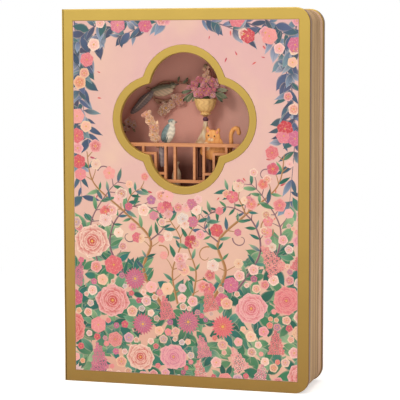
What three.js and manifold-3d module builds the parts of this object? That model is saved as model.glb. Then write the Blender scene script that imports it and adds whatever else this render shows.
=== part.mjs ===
// A thick hardcover notebook. Its front cover has a quatrefoil window over a shallow box that
// holds a small garden scene: a fretwork railing, a cat, two birds, blossom and a flower urn.
//
// Millimetres. The notebook stands on its lower edges with +Z up, the front cover faces -Y and
// the spine is at -X. The origin is the middle of the footprint, on the surface it stands on.
// Inside the book group x runs from the spine edge, y from the front face and z from the base.

import * as THREE from 'three';
import { mergeVertices } from 'three/addons/utils/BufferGeometryUtils.js';
import Module from 'manifold-3d';

const wasm = await Module();
wasm.setup();

// Covers, spine and clearances
const width = 145;
const height = 215;
const coverBoard = 3.6;
const spineBoard = 3;
const spineWrap = 0.5;
const cornerRadius = 8.5;
const clearance = 0.3;
const blockInset = 0.6;

// Layers between the covers, from the front
const frontLayer = 9.7;
const middleLayer = 4.6;
const rearLayer = 9.7;
const pageBlock = 7.3;

// Printed sheet let into the front cover
const border = 6.5;
const sheet = 0.4;
const sheetRecess = 0.8;
const sheetEdgeGap = 0.15;

// Quatrefoil window
const windowX = width / 2;
const windowDrop = 62.4;
const windowZ = height - windowDrop;
const lobeReach = 17.35;
const lobeRadius = 20.4;
const lobeFillet = 1.4;
const ringWidth = 4.4;

// Scene box behind the window
const wellHalfWidth = 50;
const wellHalfHeight = 42;
const wellBack = 2;
const backdropBoard = 0.8;

// Fretwork railing
const railDrop = 13.4;
const railingHeight = 22.5;
const railingDepth = 3;
const railingShift = -0.8;
const handrail = 2;
const sill = 1.7;
const bar = 1.4;
const postOffsets = [5.75, 11.3, 30.5];
const fretOffset = 17.2;
const stubOffset = 24.5;
const fretDrop = 5.2;
const fretRise = 5.2;
const endPost = 3;

// Turned pieces: stool, pedestal, urn and floor vase
const turnedX = 7.6;
const urnRadius = 6.65;
const urnHeight = 12.7;
const urnWall = 0.9;
const urnBowlDepth = 4;
const pedestalRadius = 6.5;
const pedestalHeight = 12.8;
const pedestalNeck = 1.2;
const stoolHeight = 27;
const stoolTop = 1.6;
const stoolLeg = 1.8;
const stoolRung = 1;
const vaseX = -9.8;
const vaseHeight = 16.6;
const vaseRadius = 2.7;

// Carved figures
const reliefHalfDepth = 1.6;
const birdHalfDepth = 1.6;
const twigRadius = 0.75;
const blossomThickness = 1.5;

const layerSizes = [coverBoard, frontLayer, middleLayer, rearLayer, pageBlock, coverBoard];
const layerFronts = layerSizes.map((_, index) =>
    layerSizes.slice(0, index).reduce((sum, size) => sum + size + clearance, 0));
const [, frontLayerY, middleLayerY, rearLayerY, pageBlockY, backCoverY] = layerFronts;
const depth = backCoverY + coverBoard;

const coverLeft = spineWrap + clearance;

const railingY = frontLayerY;
const railingBackY = railingY + railingDepth;
const wellFloorY = rearLayerY + rearLayer - wellBack;
const backdropY = wellFloorY - clearance - backdropBoard;
const figureY = railingBackY + clearance + reliefHalfDepth;
const sprayY = railingBackY + clearance + twigRadius;
const turnedY = backdropY - clearance - urnRadius;
const branchY = backdropY - clearance - twigRadius;
const branchBirdY = branchY - twigRadius - clearance - birdHalfDepth;

const wellFloorZ = -wellHalfHeight;
const railTopZ = -railDrop;
const stoolTopZ = wellFloorZ + clearance + stoolHeight;
const pedestalZ = stoolTopZ + clearance;
const urnZ = pedestalZ + pedestalHeight + clearance;
const urnRimZ = urnZ + urnHeight;

const book = new THREE.Group();
book.position.set(-width / 2, -depth / 2, 0);

// The scene's pieces are placed from the middle of the window, at the book's front face.
const scene = new THREE.Group();
scene.position.set(windowX, 0, windowZ);
book.add(scene);

function addPiece(parent, name, geometry, color, roughness, metalness = 0) {
    const material = new THREE.MeshStandardMaterial({ color, roughness, metalness });
    const mesh = new THREE.Mesh(geometry, material);
    mesh.name = name;
    parent.add(mesh);
    return mesh;
}

function solidOf(geometry) {
    const bare = geometry.clone();
    bare.deleteAttribute('normal');
    bare.deleteAttribute('uv');
    const merged = mergeVertices(bare, 1e-4);
    return new wasm.Manifold(new wasm.Mesh({
        numProp: 3,
        vertProperties: new Float32Array(merged.attributes.position.array),
        triVerts: new Uint32Array(merged.index.array),
    }));
}

function geometryOf(solid) {
    const mesh = solid.getMesh();
    const geometry = new THREE.BufferGeometry();
    geometry.setAttribute('position', new THREE.BufferAttribute(mesh.vertProperties, 3));
    geometry.setIndex(new THREE.BufferAttribute(mesh.triVerts, 1));
    geometry.computeVertexNormals();
    return geometry;
}

function unite(geometries) {
    return geometryOf(geometries.map(solidOf).reduce((sum, solid) => sum.add(solid)));
}

function cut(geometry, tool) {
    return geometryOf(solidOf(geometry).subtract(solidOf(tool)));
}

// A flat outline drawn in x and z, made into a slab whose front face lies at y = front
function slab(outline, front, thickness, curveSegments = 8) {
    const options = { depth: thickness, bevelEnabled: false, curveSegments };
    const geometry = new THREE.ExtrudeGeometry(outline, options);
    geometry.rotateX(Math.PI / 2);
    geometry.translate(0, front + thickness, 0);
    return geometry;
}

function rectangle(left, bottom, right, top) {
    const outline = new THREE.Shape();
    outline.moveTo(left, bottom);
    outline.lineTo(right, bottom);
    outline.lineTo(right, top);
    outline.lineTo(left, top);
    outline.closePath();
    return outline;
}

// A board with square corners on the spine side and round ones on the fore edge
function boardOutline(left, inset) {
    const right = width - inset;
    const top = height - inset;
    const radius = cornerRadius - inset;
    const outline = new THREE.Shape();
    outline.moveTo(left, inset);
    outline.lineTo(right - radius, inset);
    outline.absarc(right - radius, inset + radius, radius, -Math.PI / 2, 0);
    outline.absarc(right - radius, top - radius, radius, 0, Math.PI / 2);
    outline.lineTo(left, top);
    outline.closePath();
    return outline;
}

// Four round lobes with a small fillet in each notch between them
function quatrefoil(radius, centerX, centerZ) {
    const reach = radius + lobeFillet;
    const notch = (lobeReach + Math.sqrt(2 * reach * reach - lobeReach * lobeReach)) / 2;
    const lobeAngle = Math.atan2(notch, notch - lobeReach);
    const outline = new THREE.Path();
    for (let lobe = 0; lobe < 4; lobe += 1) {
        const turn = lobe * Math.PI / 2;
        const lobeX = centerX + lobeReach * Math.cos(turn);
        const lobeZ = centerZ + lobeReach * Math.sin(turn);
        outline.absarc(lobeX, lobeZ, radius, turn - lobeAngle, turn + lobeAngle);
        const diagonal = turn + Math.PI / 4;
        const filletX = centerX + notch * Math.SQRT2 * Math.cos(diagonal);
        const filletZ = centerZ + notch * Math.SQRT2 * Math.sin(diagonal);
        const start = turn + lobeAngle + Math.PI;
        const end = turn - lobeAngle + Math.PI * 1.5;
        outline.absarc(filletX, filletZ, lobeFillet, start, end, true);
    }
    outline.closePath();
    return outline;
}

function frontCover() {
    const outline = boardOutline(coverLeft, 0);
    outline.holes.push(quatrefoil(lobeRadius, windowX, windowZ));
    const recess = rectangle(border, border, width - border, height - border);
    recess.holes.push(quatrefoil(lobeRadius + ringWidth, windowX, windowZ));
    const board = slab(outline, 0, coverBoard);
    const pocket = slab(recess, -sheetRecess, 2 * sheetRecess);
    return cut(board, pocket);
}

function coverPrint() {
    const inset = border + sheetEdgeGap;
    const outline = rectangle(inset, inset, width - inset, height - inset);
    outline.holes.push(quatrefoil(lobeRadius + ringWidth + sheetEdgeGap, windowX, windowZ));
    return slab(outline, sheetRecess - clearance - sheet, sheet);
}

function wellOutline(inset) {
    return rectangle(
        windowX - wellHalfWidth + inset, windowZ - wellHalfHeight + inset,
        windowX + wellHalfWidth - inset, windowZ + wellHalfHeight - inset);
}

function openFrame(front, thickness) {
    const outline = boardOutline(spineBoard + clearance, blockInset);
    outline.holes.push(wellOutline(0));
    return slab(outline, front, thickness);
}

function rearTray() {
    const board = slab(boardOutline(spineBoard + clearance, blockInset), rearLayerY, rearLayer);
    const well = slab(wellOutline(0), rearLayerY - 1, rearLayer - wellBack + 1);
    return cut(board, well);
}

// A stiff board between the covers, in a wrap that runs past it to the covers' outer corners
function spine() {
    const boardDepth = depth - 2 * (coverBoard + clearance);
    return unite([
        slab(rectangle(0, 0, spineBoard, height), frontLayerY, boardDepth),
        slab(rectangle(0, 0, spineWrap, height), clearance, depth - 2 * clearance),
    ]);
}

function railingBar(left, bottom, right, top) {
    return slab(rectangle(left, bottom, right, top), railingY, railingDepth);
}

// One sawn fretwork panel, the same on both sides of its middle
function latticeRailing() {
    const top = railTopZ;
    const bottom = railTopZ - railingHeight;
    const endX = wellHalfWidth - clearance - Math.abs(railingShift);
    const floor = wellFloorZ + clearance;
    const underRail = top - handrail / 2;
    const overSill = bottom + sill / 2;
    const bars = [
        railingBar(-endX, top - handrail, endX, top),
        railingBar(-endX, bottom, endX, bottom + sill),
    ];
    for (const side of [-1, 1]) {
        const upright = (offset, from, to, size = bar) => railingBar(
            side * offset - size / 2, from, side * offset + size / 2, to);
        const level = (from, to, z) => railingBar(
            Math.min(side * from, side * to), z - bar / 2, Math.max(side * from, side * to), z + bar / 2);
        for (const offset of postOffsets) {
            bars.push(upright(offset, overSill, underRail));
        }
        bars.push(upright(endX - endPost / 2, floor, underRail, endPost));
        bars.push(upright(stubOffset, top - handrail / 2 - fretDrop, underRail));
        bars.push(upright(fretOffset, bottom + fretRise, top - fretDrop));
        bars.push(level(fretOffset - bar / 2, stubOffset + bar / 2, top - fretDrop - bar / 2));
        bars.push(level(postOffsets[1], fretOffset + bar / 2, bottom + fretRise));
        bars.push(level(postOffsets[2], endX - endPost / 2, (top + bottom) / 2));
    }
    const railing = unite(bars);
    railing.translate(railingShift, 0, 0);
    return railing;
}

// A ball stretched along x, y and z, turned in the x-z plane and placed at (x, y, z)
function ovoid([x, y, z], [radiusX, radiusY, radiusZ], turn = 0, sides = 12) {
    const geometry = new THREE.SphereGeometry(1, sides, Math.round(sides * 0.6));
    geometry.scale(radiusX, radiusY, radiusZ);
    geometry.rotateY(-turn);
    geometry.translate(x, y, z);
    return geometry;
}

// A pointed cone from its base middle towards a direction in the x-z plane
function spike([x, y, z], radius, length, turn) {
    const geometry = new THREE.ConeGeometry(radius, length, 8);
    geometry.translate(0, length / 2, 0);
    geometry.rotateX(Math.PI / 2);
    geometry.rotateY(Math.PI / 2 - turn);
    geometry.translate(x, y, z);
    return geometry;
}

// A round rod along a smooth curve through points [x, z] at one depth
function rod(points, y, radius, steps = 10) {
    const curve = new THREE.CatmullRomCurve3(points.map(([x, z]) => new THREE.Vector3(x, y, z)));
    const section = new THREE.Shape();
    section.absarc(0, 0, radius, 0, 2 * Math.PI);
    return new THREE.ExtrudeGeometry(section, {
        steps, curveSegments: 3, bevelEnabled: false, extrudePath: curve,
    });
}

// A flower of round petals about a raised middle, facing the front
function blossom([x, y, z], radius, turn = 0, petals = 5) {
    const petalRadius = radius * Math.sin(Math.PI / petals) / (1 + Math.sin(Math.PI / petals));
    const petalReach = radius - petalRadius;
    const outline = new THREE.Shape();
    for (let petal = 0; petal < petals; petal += 1) {
        const angle = turn + petal * 2 * Math.PI / petals;
        const petalX = petalReach * Math.cos(angle);
        const petalZ = petalReach * Math.sin(angle);
        const sweep = Math.PI / 2 + Math.PI / petals;
        outline.absarc(petalX, petalZ, petalRadius, angle - sweep * 0.98, angle + sweep * 0.98);
    }
    outline.closePath();
    const petalSlab = slab(outline, y - blossomThickness / 2, blossomThickness, 3);
    petalSlab.translate(x, 0, z);
    const front = y - blossomThickness / 2;
    const middle = ovoid([x, front, z], [radius * 0.32, radius * 0.22, radius * 0.32], 0, 8);
    return [petalSlab, middle];
}

// A flat leaf with a pointed end, from its stalk towards a direction
function leaf([x, y, z], length, breadth, turn, thickness = blossomThickness * 0.6) {
    const outline = new THREE.Shape();
    outline.moveTo(0, 0);
    outline.bezierCurveTo(length * 0.3, -breadth * 0.7, length * 0.7, -breadth * 0.6, length, 0);
    outline.bezierCurveTo(length * 0.7, breadth * 0.6, length * 0.3, breadth * 0.7, 0, 0);
    const geometry = slab(outline, -thickness / 2, thickness, 4);
    geometry.rotateY(-turn);
    geometry.translate(x, y, z);
    return geometry;
}

// A bird perched upright behind the handrail, with its tail hanging below it
function railBird() {
    const footX = -12.2;
    const half = birdHalfDepth;
    const at = (x, z) => [footX + x, figureY, railTopZ + z];
    return unite([
        ovoid(at(0.6, 5.4), [3.1, half, 6.2], -0.32),
        ovoid(at(2.6, 11.4), [2.1, half * 0.85, 2.0]),
        ovoid(at(-0.6, 5.2), [2.0, half * 0.9, 5.2], -0.42),
        spike(at(4.2, 11.5), 0.7, 2.2, 0.1),
        ovoid(at(-1.2, -6.2), [1.7, half * 0.7, 8.2], -0.08),
    ]);
}

// A spray of blossom that climbs from the handrail
function railBlossoms() {
    const rootX = -19.2;
    const at = (x, z) => [rootX + x, sprayY, railTopZ + z];
    const stem = [[1.4, -3.2], [1, 2.5], [-1.6, 9.2], [-5, 16]];
    const heads = [
        [[-4.9, 16], 2.3, 0.3], [[-3.4, 12.2], 2.5, 0.9], [[-1.2, 8.6], 2.6, 0.1],
        [[-1.4, 4.4], 2.4, 0.6], [[0.4, 1.9], 2.1, 1.1], [[0.8, 5.8], 1.7, 0.2],
    ];
    const pieces = [
        rod(stem.map(([x, z]) => [rootX + x, railTopZ + z]), sprayY, twigRadius),
        ovoid(at(0.9, 10), [1, 0.8, 2.6], -0.15),
    ];
    for (const [[x, z], radius, turn] of heads) {
        pieces.push(...blossom(at(x, z), radius, turn));
    }
    return unite(pieces);
}

// A cat that lies behind the handrail with its head and tail above it
function cat() {
    const catX = 14.7;
    const half = reliefHalfDepth;
    const at = (x, z) => [catX + x, figureY, railTopZ + z];
    const tail = [[9.6, -5], [10.6, -0.4], [10.5, 5], [12.2, 8.2], [14.4, 8.3], [15.1, 5.9]];
    return unite([
        ovoid(at(1.8, -4.6), [9.6, half, 5.2]),
        ovoid(at(0.4, -0.2), [5.4, half * 0.95, 4.6]),
        ovoid(at(-0.2, 3.8), [4.5, half, 3.9], -0.1),
        spike(at(-2.2, 6.2), 1.5, 3, 1.75),
        spike(at(2.4, 5.6), 1.5, 3, 1.25),
        rod(tail.map(([x, z]) => [catX + x, railTopZ + z]), figureY, 1.2, 16),
    ]);
}

function turned(profile, x, z, segments = 20) {
    const points = profile.map(([radius, level]) => new THREE.Vector2(radius, level));
    const geometry = new THREE.LatheGeometry(points, segments);
    geometry.rotateX(Math.PI / 2);
    geometry.translate(x, turnedY, z);
    return geometry;
}

// A footed urn with an open bowl
function flowerUrn() {
    const bowlFloor = urnHeight - urnBowlDepth;
    return turned([
        [0, 0], [1.3, 0], [1.7, 1], [1.2, 2], [1.5, 3], [3.1, 3.7], [3.1, 4.4],
        [2.6, 4.9], [4.4, 6.4], [6, 9.2], [urnRadius - 0.3, urnHeight - 1.6],
        [urnRadius, urnHeight - 0.7], [urnRadius - 0.2, urnHeight], [urnRadius - urnWall, urnHeight],
        [urnRadius - urnWall - 1, urnHeight - 1.8], [3, bowlFloor + 0.5], [0, bowlFloor],
    ], turnedX, urnZ);
}

// A flared foot that lifts the urn
function urnPedestal() {
    const flare = 7;
    const profile = [[0, 0]];
    for (let step = 0; step <= flare; step += 1) {
        const rise = step / flare;
        const radius = pedestalNeck + (pedestalRadius - pedestalNeck) * (1 - rise) ** 1.7;
        profile.push([radius, rise * pedestalHeight]);
    }
    profile.push([0, pedestalHeight]);
    return turned(profile, turnedX, pedestalZ);
}

// A round-topped stool on four legs tied by rungs
function urnStool() {
    const legReach = pedestalRadius * 0.62;
    const floor = wellFloorZ + clearance;
    const under = stoolTopZ - stoolTop / 2;
    const top = new THREE.CylinderGeometry(pedestalRadius, pedestalRadius, stoolTop, 24);
    top.rotateX(Math.PI / 2);
    top.translate(turnedX, turnedY, stoolTopZ - stoolTop / 2);
    const pieces = [top];
    for (const sideX of [-1, 1]) {
        for (const sideY of [-1, 1]) {
            const leg = new THREE.BoxGeometry(stoolLeg, stoolLeg, under - floor);
            leg.translate(turnedX + sideX * legReach, turnedY + sideY * legReach, (under + floor) / 2);
            pieces.push(leg);
        }
    }
    for (const side of [-1, 1]) {
        const along = new THREE.BoxGeometry(2 * legReach, stoolRung, stoolRung);
        along.translate(turnedX, turnedY + side * legReach, floor + stoolHeight * 0.3);
        const across = new THREE.BoxGeometry(stoolRung, 2 * legReach, stoolRung);
        across.translate(turnedX + side * legReach, turnedY, floor + stoolHeight * 0.3);
        pieces.push(along, across);
    }
    return unite(pieces);
}

function floorVase() {
    const radius = vaseRadius;
    const tall = vaseHeight;
    return turned([
        [0, 0], [radius * 0.62, 0], [radius * 0.7, tall * 0.05], [radius, tall * 0.42],
        [radius * 0.92, tall * 0.62], [radius * 0.45, tall * 0.8], [radius * 0.42, tall * 0.9],
        [radius * 0.62, tall], [radius * 0.42, tall], [radius * 0.26, tall * 0.9],
        [radius * 0.3, tall * 0.78], [0, tall * 0.7],
    ], vaseX, wellFloorZ + clearance, 16);
}

// A domed bunch of blossom with one tall spike and leaves that droop over the rim
function urnBouquet() {
    const baseZ = urnRimZ + clearance;
    const at = (x, y, z) => [turnedX + x, turnedY + y, baseZ + z];
    const heads = [
        [[-8.2, 3.9], 3.1, 0.2], [[-4.4, 7.9], 3.3, 0.7], [[0.9, 9.7], 3.1, 0.1], [[5.6, 7.5], 3.2, 0.5],
        [[8, 3.5], 3.0, 1.0], [[-3.6, 3.6], 3.4, 1.2], [[1.2, 4.6], 3.4, 0.4], [[4.6, 3.2], 2.9, 0.9],
    ];
    const pieces = [
        ovoid(at(0, 0.6, 5.4), [7.6, 4.2, 5.2]),
        ovoid(at(0, 0.4, 0.6), [3.8, 3.4, 2.6]),
        ovoid(at(1.4, -0.6, 12.7), [2.8, 2.2, 4.6], 0.12),
        ovoid(at(0.6, -0.6, 17.5), [1.6, 1.3, 2.4], 0.3),
        leaf(at(-5.6, -1.2, 3.6), 8.6, 2.4, 3.8),
        leaf(at(-5.8, -1.4, 3.4), 7.4, 2, 4.05),
        leaf(at(5.4, -1.2, 4), 9.4, 2.6, -0.42),
        leaf(at(6.2, -1.4, 3.6), 7.6, 2, -0.85),
    ];
    for (const [[x, z], radius, turn] of heads) {
        const dome = 0.02 * x * x - 3.4;
        pieces.push(...blossom(at(x, dome, z), radius, turn));
    }
    return unite(pieces);
}

// A flowering branch fixed to the backdrop
function blossomBranch() {
    const headY = branchY - 0.4;
    const boughs = [
        [[-29.4, 17.2], [-25.8, 15.4], [-25.3, 11.6], [-22.4, 8.6], [-17.6, 5.7]],
        [[-24.6, 10.6], [-18.6, 9.8], [-12.4, 11.2], [-8, 10.2]],
        [[-25.9, 15.6], [-20, 20.2], [-12.2, 20.6], [-4.6, 19.8]],
    ];
    const heads = [
        [[-17.4, 5.8], 3.2, 0.3], [[-14, 7.6], 2.4, 0.8], [[-19.6, 3.4], 2.3, 0.5],
        [[-8.4, 10.4], 2.9, 0.2], [[-11.8, 12.2], 2.1, 0.9],
    ];
    const pieces = boughs.map((points) => rod(points, branchY, twigRadius, 10));
    for (const [[x, z], radius, turn] of heads) {
        pieces.push(...blossom([x, headY, z], radius, turn));
    }
    pieces.push(leaf([-8.4, branchY, 19.8], 5, 2, 0.5));
    pieces.push(leaf([-5, branchY, 19.8], 5.4, 2, -0.5));
    return unite(pieces);
}

// A bird on the branch, its long tail trailing to the lower left
function branchBird() {
    const half = birdHalfDepth;
    const at = (x, z) => [x, branchBirdY, z];
    return unite([
        ovoid(at(-18.6, 15.6), [6.4, half, 2.9], 0.2),
        ovoid(at(-13, 18.8), [2.2, half * 0.9, 2.0]),
        spike(at(-11.4, 19.2), 0.8, 2.6, 0.25),
        ovoid(at(-19.6, 17.6), [6.8, half * 0.8, 1.9], 0.18),
        ovoid(at(-31.4, 8.8), [9.8, half * 0.7, 2.7], 0.74),
        ovoid(at(-28.8, 12.4), [7, half * 0.6, 2], 0.6),
    ]);
}

// A small flowering sprig at the left of the backdrop, placed from the well's left wall
function wallSprig() {
    const wallX = -wellHalfWidth;
    const headY = branchY - 0.4;
    const stem = [[6.6, -8.6], [9.6, -5.4], [12.8, -3.6]];
    const heads = [[[9.4, -2.4], 2.3, 0.4], [[13, -4.4], 2.1, 0.9], [[8, -6.4], 1.8, 0.1]];
    const pieces = [rod(stem.map(([x, z]) => [wallX + x, z]), branchY, twigRadius, 6)];
    for (const [[x, z], radius, turn] of heads) {
        pieces.push(...blossom([wallX + x, headY, z], radius, turn));
    }
    pieces.push(leaf([wallX + 8.2, branchY, -5.8], 4.4, 2, 2.5));
    pieces.push(leaf([wallX + 11.4, branchY, -5], 4.2, 2, -1));
    return unite(pieces);
}

addPiece(book, 'front_cover', frontCover(), 0xc8a152, 0.38, 0.55);
addPiece(book, 'cover_print', coverPrint(), 0xdcb3a6, 0.6);
addPiece(book, 'scene_frame_front', openFrame(frontLayerY, frontLayer), 0xb08a62, 0.75);
addPiece(book, 'scene_frame_middle', openFrame(middleLayerY, middleLayer), 0xa98258, 0.75);
addPiece(book, 'scene_frame_rear', rearTray(), 0xb08a62, 0.75);
addPiece(book, 'scene_backdrop', slab(wellOutline(clearance), backdropY, backdropBoard), 0xbf7f70, 0.8);

addPiece(scene, 'lattice_railing', latticeRailing(), 0xcf8c5c, 0.55);
addPiece(scene, 'rail_bird', railBird(), 0x8fa09c, 0.6);
addPiece(scene, 'rail_blossoms', railBlossoms(), 0xe7b79c, 0.6);
addPiece(scene, 'cat', cat(), 0xeaa04e, 0.6);
addPiece(scene, 'urn_stool', urnStool(), 0x9a5a3c, 0.6);
addPiece(scene, 'urn_pedestal', urnPedestal(), 0xe9cfa4, 0.5);
addPiece(scene, 'flower_urn', flowerUrn(), 0xdcae5c, 0.4);
addPiece(scene, 'urn_bouquet', urnBouquet(), 0xd27c8c, 0.6);
addPiece(scene, 'floor_vase', floorVase(), 0xe2c8a0, 0.5);
addPiece(scene, 'blossom_branch', blossomBranch(), 0xc98f74, 0.6);
addPiece(scene, 'branch_bird', branchBird(), 0x8a7f72, 0.6);
addPiece(scene, 'wall_sprig', wallSprig(), 0xc08070, 0.6);

addPiece(book, 'spine', spine(), 0xc09a4c, 0.4, 0.5);
const pageOutline = boardOutline(spineBoard + clearance, blockInset);
addPiece(book, 'page_block', slab(pageOutline, pageBlockY, pageBlock), 0xe4d2b0, 0.85);
addPiece(book, 'back_cover', slab(boardOutline(coverLeft, 0), backCoverY, coverBoard), 0xc8a152, 0.38, 0.55);

export default book;
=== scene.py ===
"""A thick notebook in gold foil and printed paper, with a carved garden scene behind a window.

Lengths are written in millimetres and made metres by MM. The notebook stands on z = 0 with its
front cover towards -Y, its spine at -X and its fore edge at +X.
"""
import math
import random

import bmesh
import bpy
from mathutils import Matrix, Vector
from mathutils.geometry import tessellate_polygon


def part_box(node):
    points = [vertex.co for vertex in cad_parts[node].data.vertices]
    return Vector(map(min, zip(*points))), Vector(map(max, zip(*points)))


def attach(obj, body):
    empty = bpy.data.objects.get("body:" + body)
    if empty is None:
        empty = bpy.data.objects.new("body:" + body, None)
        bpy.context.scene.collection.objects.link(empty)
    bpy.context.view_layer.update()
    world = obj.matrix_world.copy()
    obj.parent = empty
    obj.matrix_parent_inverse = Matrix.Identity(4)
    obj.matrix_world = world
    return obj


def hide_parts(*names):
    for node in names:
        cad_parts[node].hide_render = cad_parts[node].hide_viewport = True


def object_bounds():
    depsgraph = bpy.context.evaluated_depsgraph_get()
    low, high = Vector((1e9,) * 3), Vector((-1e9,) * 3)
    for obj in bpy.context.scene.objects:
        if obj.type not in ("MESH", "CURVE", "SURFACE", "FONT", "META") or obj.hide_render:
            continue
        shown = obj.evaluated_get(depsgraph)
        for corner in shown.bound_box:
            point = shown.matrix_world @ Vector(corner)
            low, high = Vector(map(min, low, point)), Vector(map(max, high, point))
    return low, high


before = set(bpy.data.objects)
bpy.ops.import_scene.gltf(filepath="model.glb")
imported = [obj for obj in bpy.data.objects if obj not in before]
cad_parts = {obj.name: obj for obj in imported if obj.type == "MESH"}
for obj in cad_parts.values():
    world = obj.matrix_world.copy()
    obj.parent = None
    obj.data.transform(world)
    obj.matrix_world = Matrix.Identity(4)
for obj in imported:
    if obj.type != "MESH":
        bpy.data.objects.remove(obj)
cad_low, cad_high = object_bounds()

MM = 0.001


def middle(node_name, axis):
    """The middle of a CAD node along one axis, in millimetres."""
    low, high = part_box(node_name)
    return (low[axis] + high[axis]) / 2 / MM


def span(node_name, axis):
    """The size of a CAD node along one axis, in millimetres."""
    low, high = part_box(node_name)
    return (high[axis] - low[axis]) / MM


def depth_and_half(node_name):
    """The middle of a CAD node in y, and half its size there."""
    return middle(node_name, 1), span(node_name, 1) / 2


# Notebook
WIDTH = (cad_high.x - cad_low.x) / MM
HEIGHT = (cad_high.z - cad_low.z) / MM
FRONT = cad_low.y / MM
RIGHT = WIDTH / 2
COVER_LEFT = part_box("front_cover")[0].x / MM
BOARD = span("front_cover", 1)
CORNER = 8.5
BORDER = 6.5
RECESS = 0.8
SHEET_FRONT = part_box("cover_print")[0].y / MM

# Window: four round lobes about its middle, and the gold ring around them
WINDOW_Z = 152.6
LOBE_REACH = 17.35
LOBE = 20.4
LOBE_FILLET = 1.4
RING = 4.4

# The well behind the window, cut through the layered board
WELL_HALF_WIDTH = 50.5
WELL_BASE = 109
WELL_TOP = 196

# Scene in the well, from the window's middle
RAIL_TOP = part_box("lattice_railing")[1].z / MM - WINDOW_Z
TURNED_X = middle("flower_urn", 0)


def srgb(red, green, blue):
    """A colour as seen on a screen, 0 to 255, as linear values."""
    def linear(value):
        value /= 255
        return value / 12.92 if value <= 0.04045 else ((value + 0.055) / 1.055) ** 2.4
    return (linear(red), linear(green), linear(blue), 1.0)


def tints(*colors):
    return [srgb(*color) for color in colors]


def blend_colors(first, second, share):
    return tuple(a + (b - a) * share for a, b in zip(first, second))


def shaded(color, amount):
    """A colour nearer to black, or lighter for an amount below zero."""
    return blend_colors(color, (0.0, 0.0, 0.0, 1.0), amount)


# Turns, in radians from +X towards the second axis of a plane

def around(count):
    """Equal turns that go once round."""
    return [2 * math.pi * index / count for index in range(count)]


def tip_of(x, z, length, turn):
    """The far end of a line that starts at a place."""
    return x + length * math.cos(turn), z + length * math.sin(turn)


def turned(x, z, turn):
    """A place turned about the origin."""
    return x * math.cos(turn) - z * math.sin(turn), x * math.sin(turn) + z * math.cos(turn)


# Node helpers

def node(tree, kind, inputs=None, **settings):
    """A new node with its settings, and with each input linked or set."""
    made = tree.nodes.new(kind)
    for name, value in settings.items():
        setattr(made, name, value)
    for key, value in (inputs or {}).items():
        if isinstance(value, bpy.types.NodeSocket):
            tree.links.new(value, made.inputs[key])
        else:
            made.inputs[key].default_value = value
    return made


def math_node(tree, operation, first, second=0.5, clamp=False):
    made = node(tree, "ShaderNodeMath", {0: first, 1: second}, operation=operation, use_clamp=clamp)
    return made.outputs[0]


def product(tree, first, second, clamp=False):
    return math_node(tree, "MULTIPLY", first, second, clamp)


def above(tree, value, limit):
    """1 where the value is over the limit, and 0 elsewhere."""
    return math_node(tree, "GREATER_THAN", value, limit)


def mix_colors(tree, share, first, second):
    return node(tree, "ShaderNodeMix", {0: share, 6: first, 7: second}, data_type="RGBA").outputs[2]


def ramp(tree, value, stops):
    made = node(tree, "ShaderNodeValToRGB", {0: value})
    elements = made.color_ramp.elements
    while len(elements) < len(stops):
        elements.new(0.5)
    for element, (place, color) in zip(elements, stops):
        element.position = place
        element.color = color
    return made.outputs[0]


def object_place(tree):
    return node(tree, "ShaderNodeTexCoord").outputs["Object"]


def object_axis(tree, axis):
    return node(tree, "ShaderNodeSeparateXYZ", {0: object_place(tree)}).outputs[axis]


def noise(tree, place, scale, detail, **more):
    inputs = {"Vector": place, "Scale": scale, "Detail": detail, **more}
    return node(tree, "ShaderNodeTexNoise", inputs).outputs[0]


def stretched(tree, factors):
    """Object coordinates, stretched along each axis."""
    inputs = {0: object_place(tree), 1: factors}
    return node(tree, "ShaderNodeVectorMath", inputs, operation="MULTIPLY").outputs[0]


def facing(tree, axis):
    """How far a face points along one axis, from 0 to 1, either way."""
    normal = node(tree, "ShaderNodeNewGeometry").outputs["Normal"]
    part = node(tree, "ShaderNodeSeparateXYZ", {0: normal}).outputs[axis]
    return math_node(tree, "ABSOLUTE", part)


def new_group(name, kind, inputs, outputs):
    """A node group with named sockets, its input node's outputs and its output node's inputs."""
    group = bpy.data.node_groups.new(name, kind)
    for way, sockets in (("INPUT", inputs), ("OUTPUT", outputs)):
        for label, holds in sockets.items():
            group.interface.new_socket(label, in_out=way, socket_type="NodeSocket" + holds)
    given = group.nodes.new("NodeGroupInput").outputs
    result = group.nodes.new("NodeGroupOutput").inputs
    return group, given, result


def mottle_group():
    """Uneven colour and a fine uneven surface, for paper, paint and foil."""
    group, given, result = new_group(
        "mottled_surface", "ShaderNodeTree",
        {"Color": "Color", "Amount": "Float", "Patch": "Float", "Grain": "Float"},
        {"Color": "Color", "Height": "Float"})
    place = object_place(group)
    grain = noise(group, place, given["Grain"], 3.0)
    both = math_node(group, "ADD", noise(group, place, given["Patch"], 4.0), grain)
    swing = product(group, math_node(group, "SUBTRACT", both, 1.0), given["Amount"])
    value = math_node(group, "ADD", swing, 1.0)
    tinted = node(group, "ShaderNodeHueSaturation", {"Value": value, "Color": given["Color"]})
    group.links.new(tinted.outputs[0], result["Color"])
    group.links.new(grain, result["Height"])
    return group


def layer_lines_group():
    """Fine lines across the thickness of layered board or a stack of leaves."""
    group, given, result = new_group(
        "layer_lines", "ShaderNodeTree",
        {"Light": "Color", "Dark": "Color", "Fineness": "Float"},
        {"Color": "Color", "Height": "Float"})
    fine = noise(group, stretched(group, (0.02, 1.0, 0.02)), given["Fineness"], 5.0, Roughness=0.7)
    share = ramp(group, fine, [(0.32, (0, 0, 0, 1)), (0.68, (1, 1, 1, 1))])
    group.links.new(mix_colors(group, share, given["Dark"], given["Light"]), result["Color"])
    group.links.new(fine, result["Height"])
    return group


MOTTLE = mottle_group()
LAYER_LINES = layer_lines_group()


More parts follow.
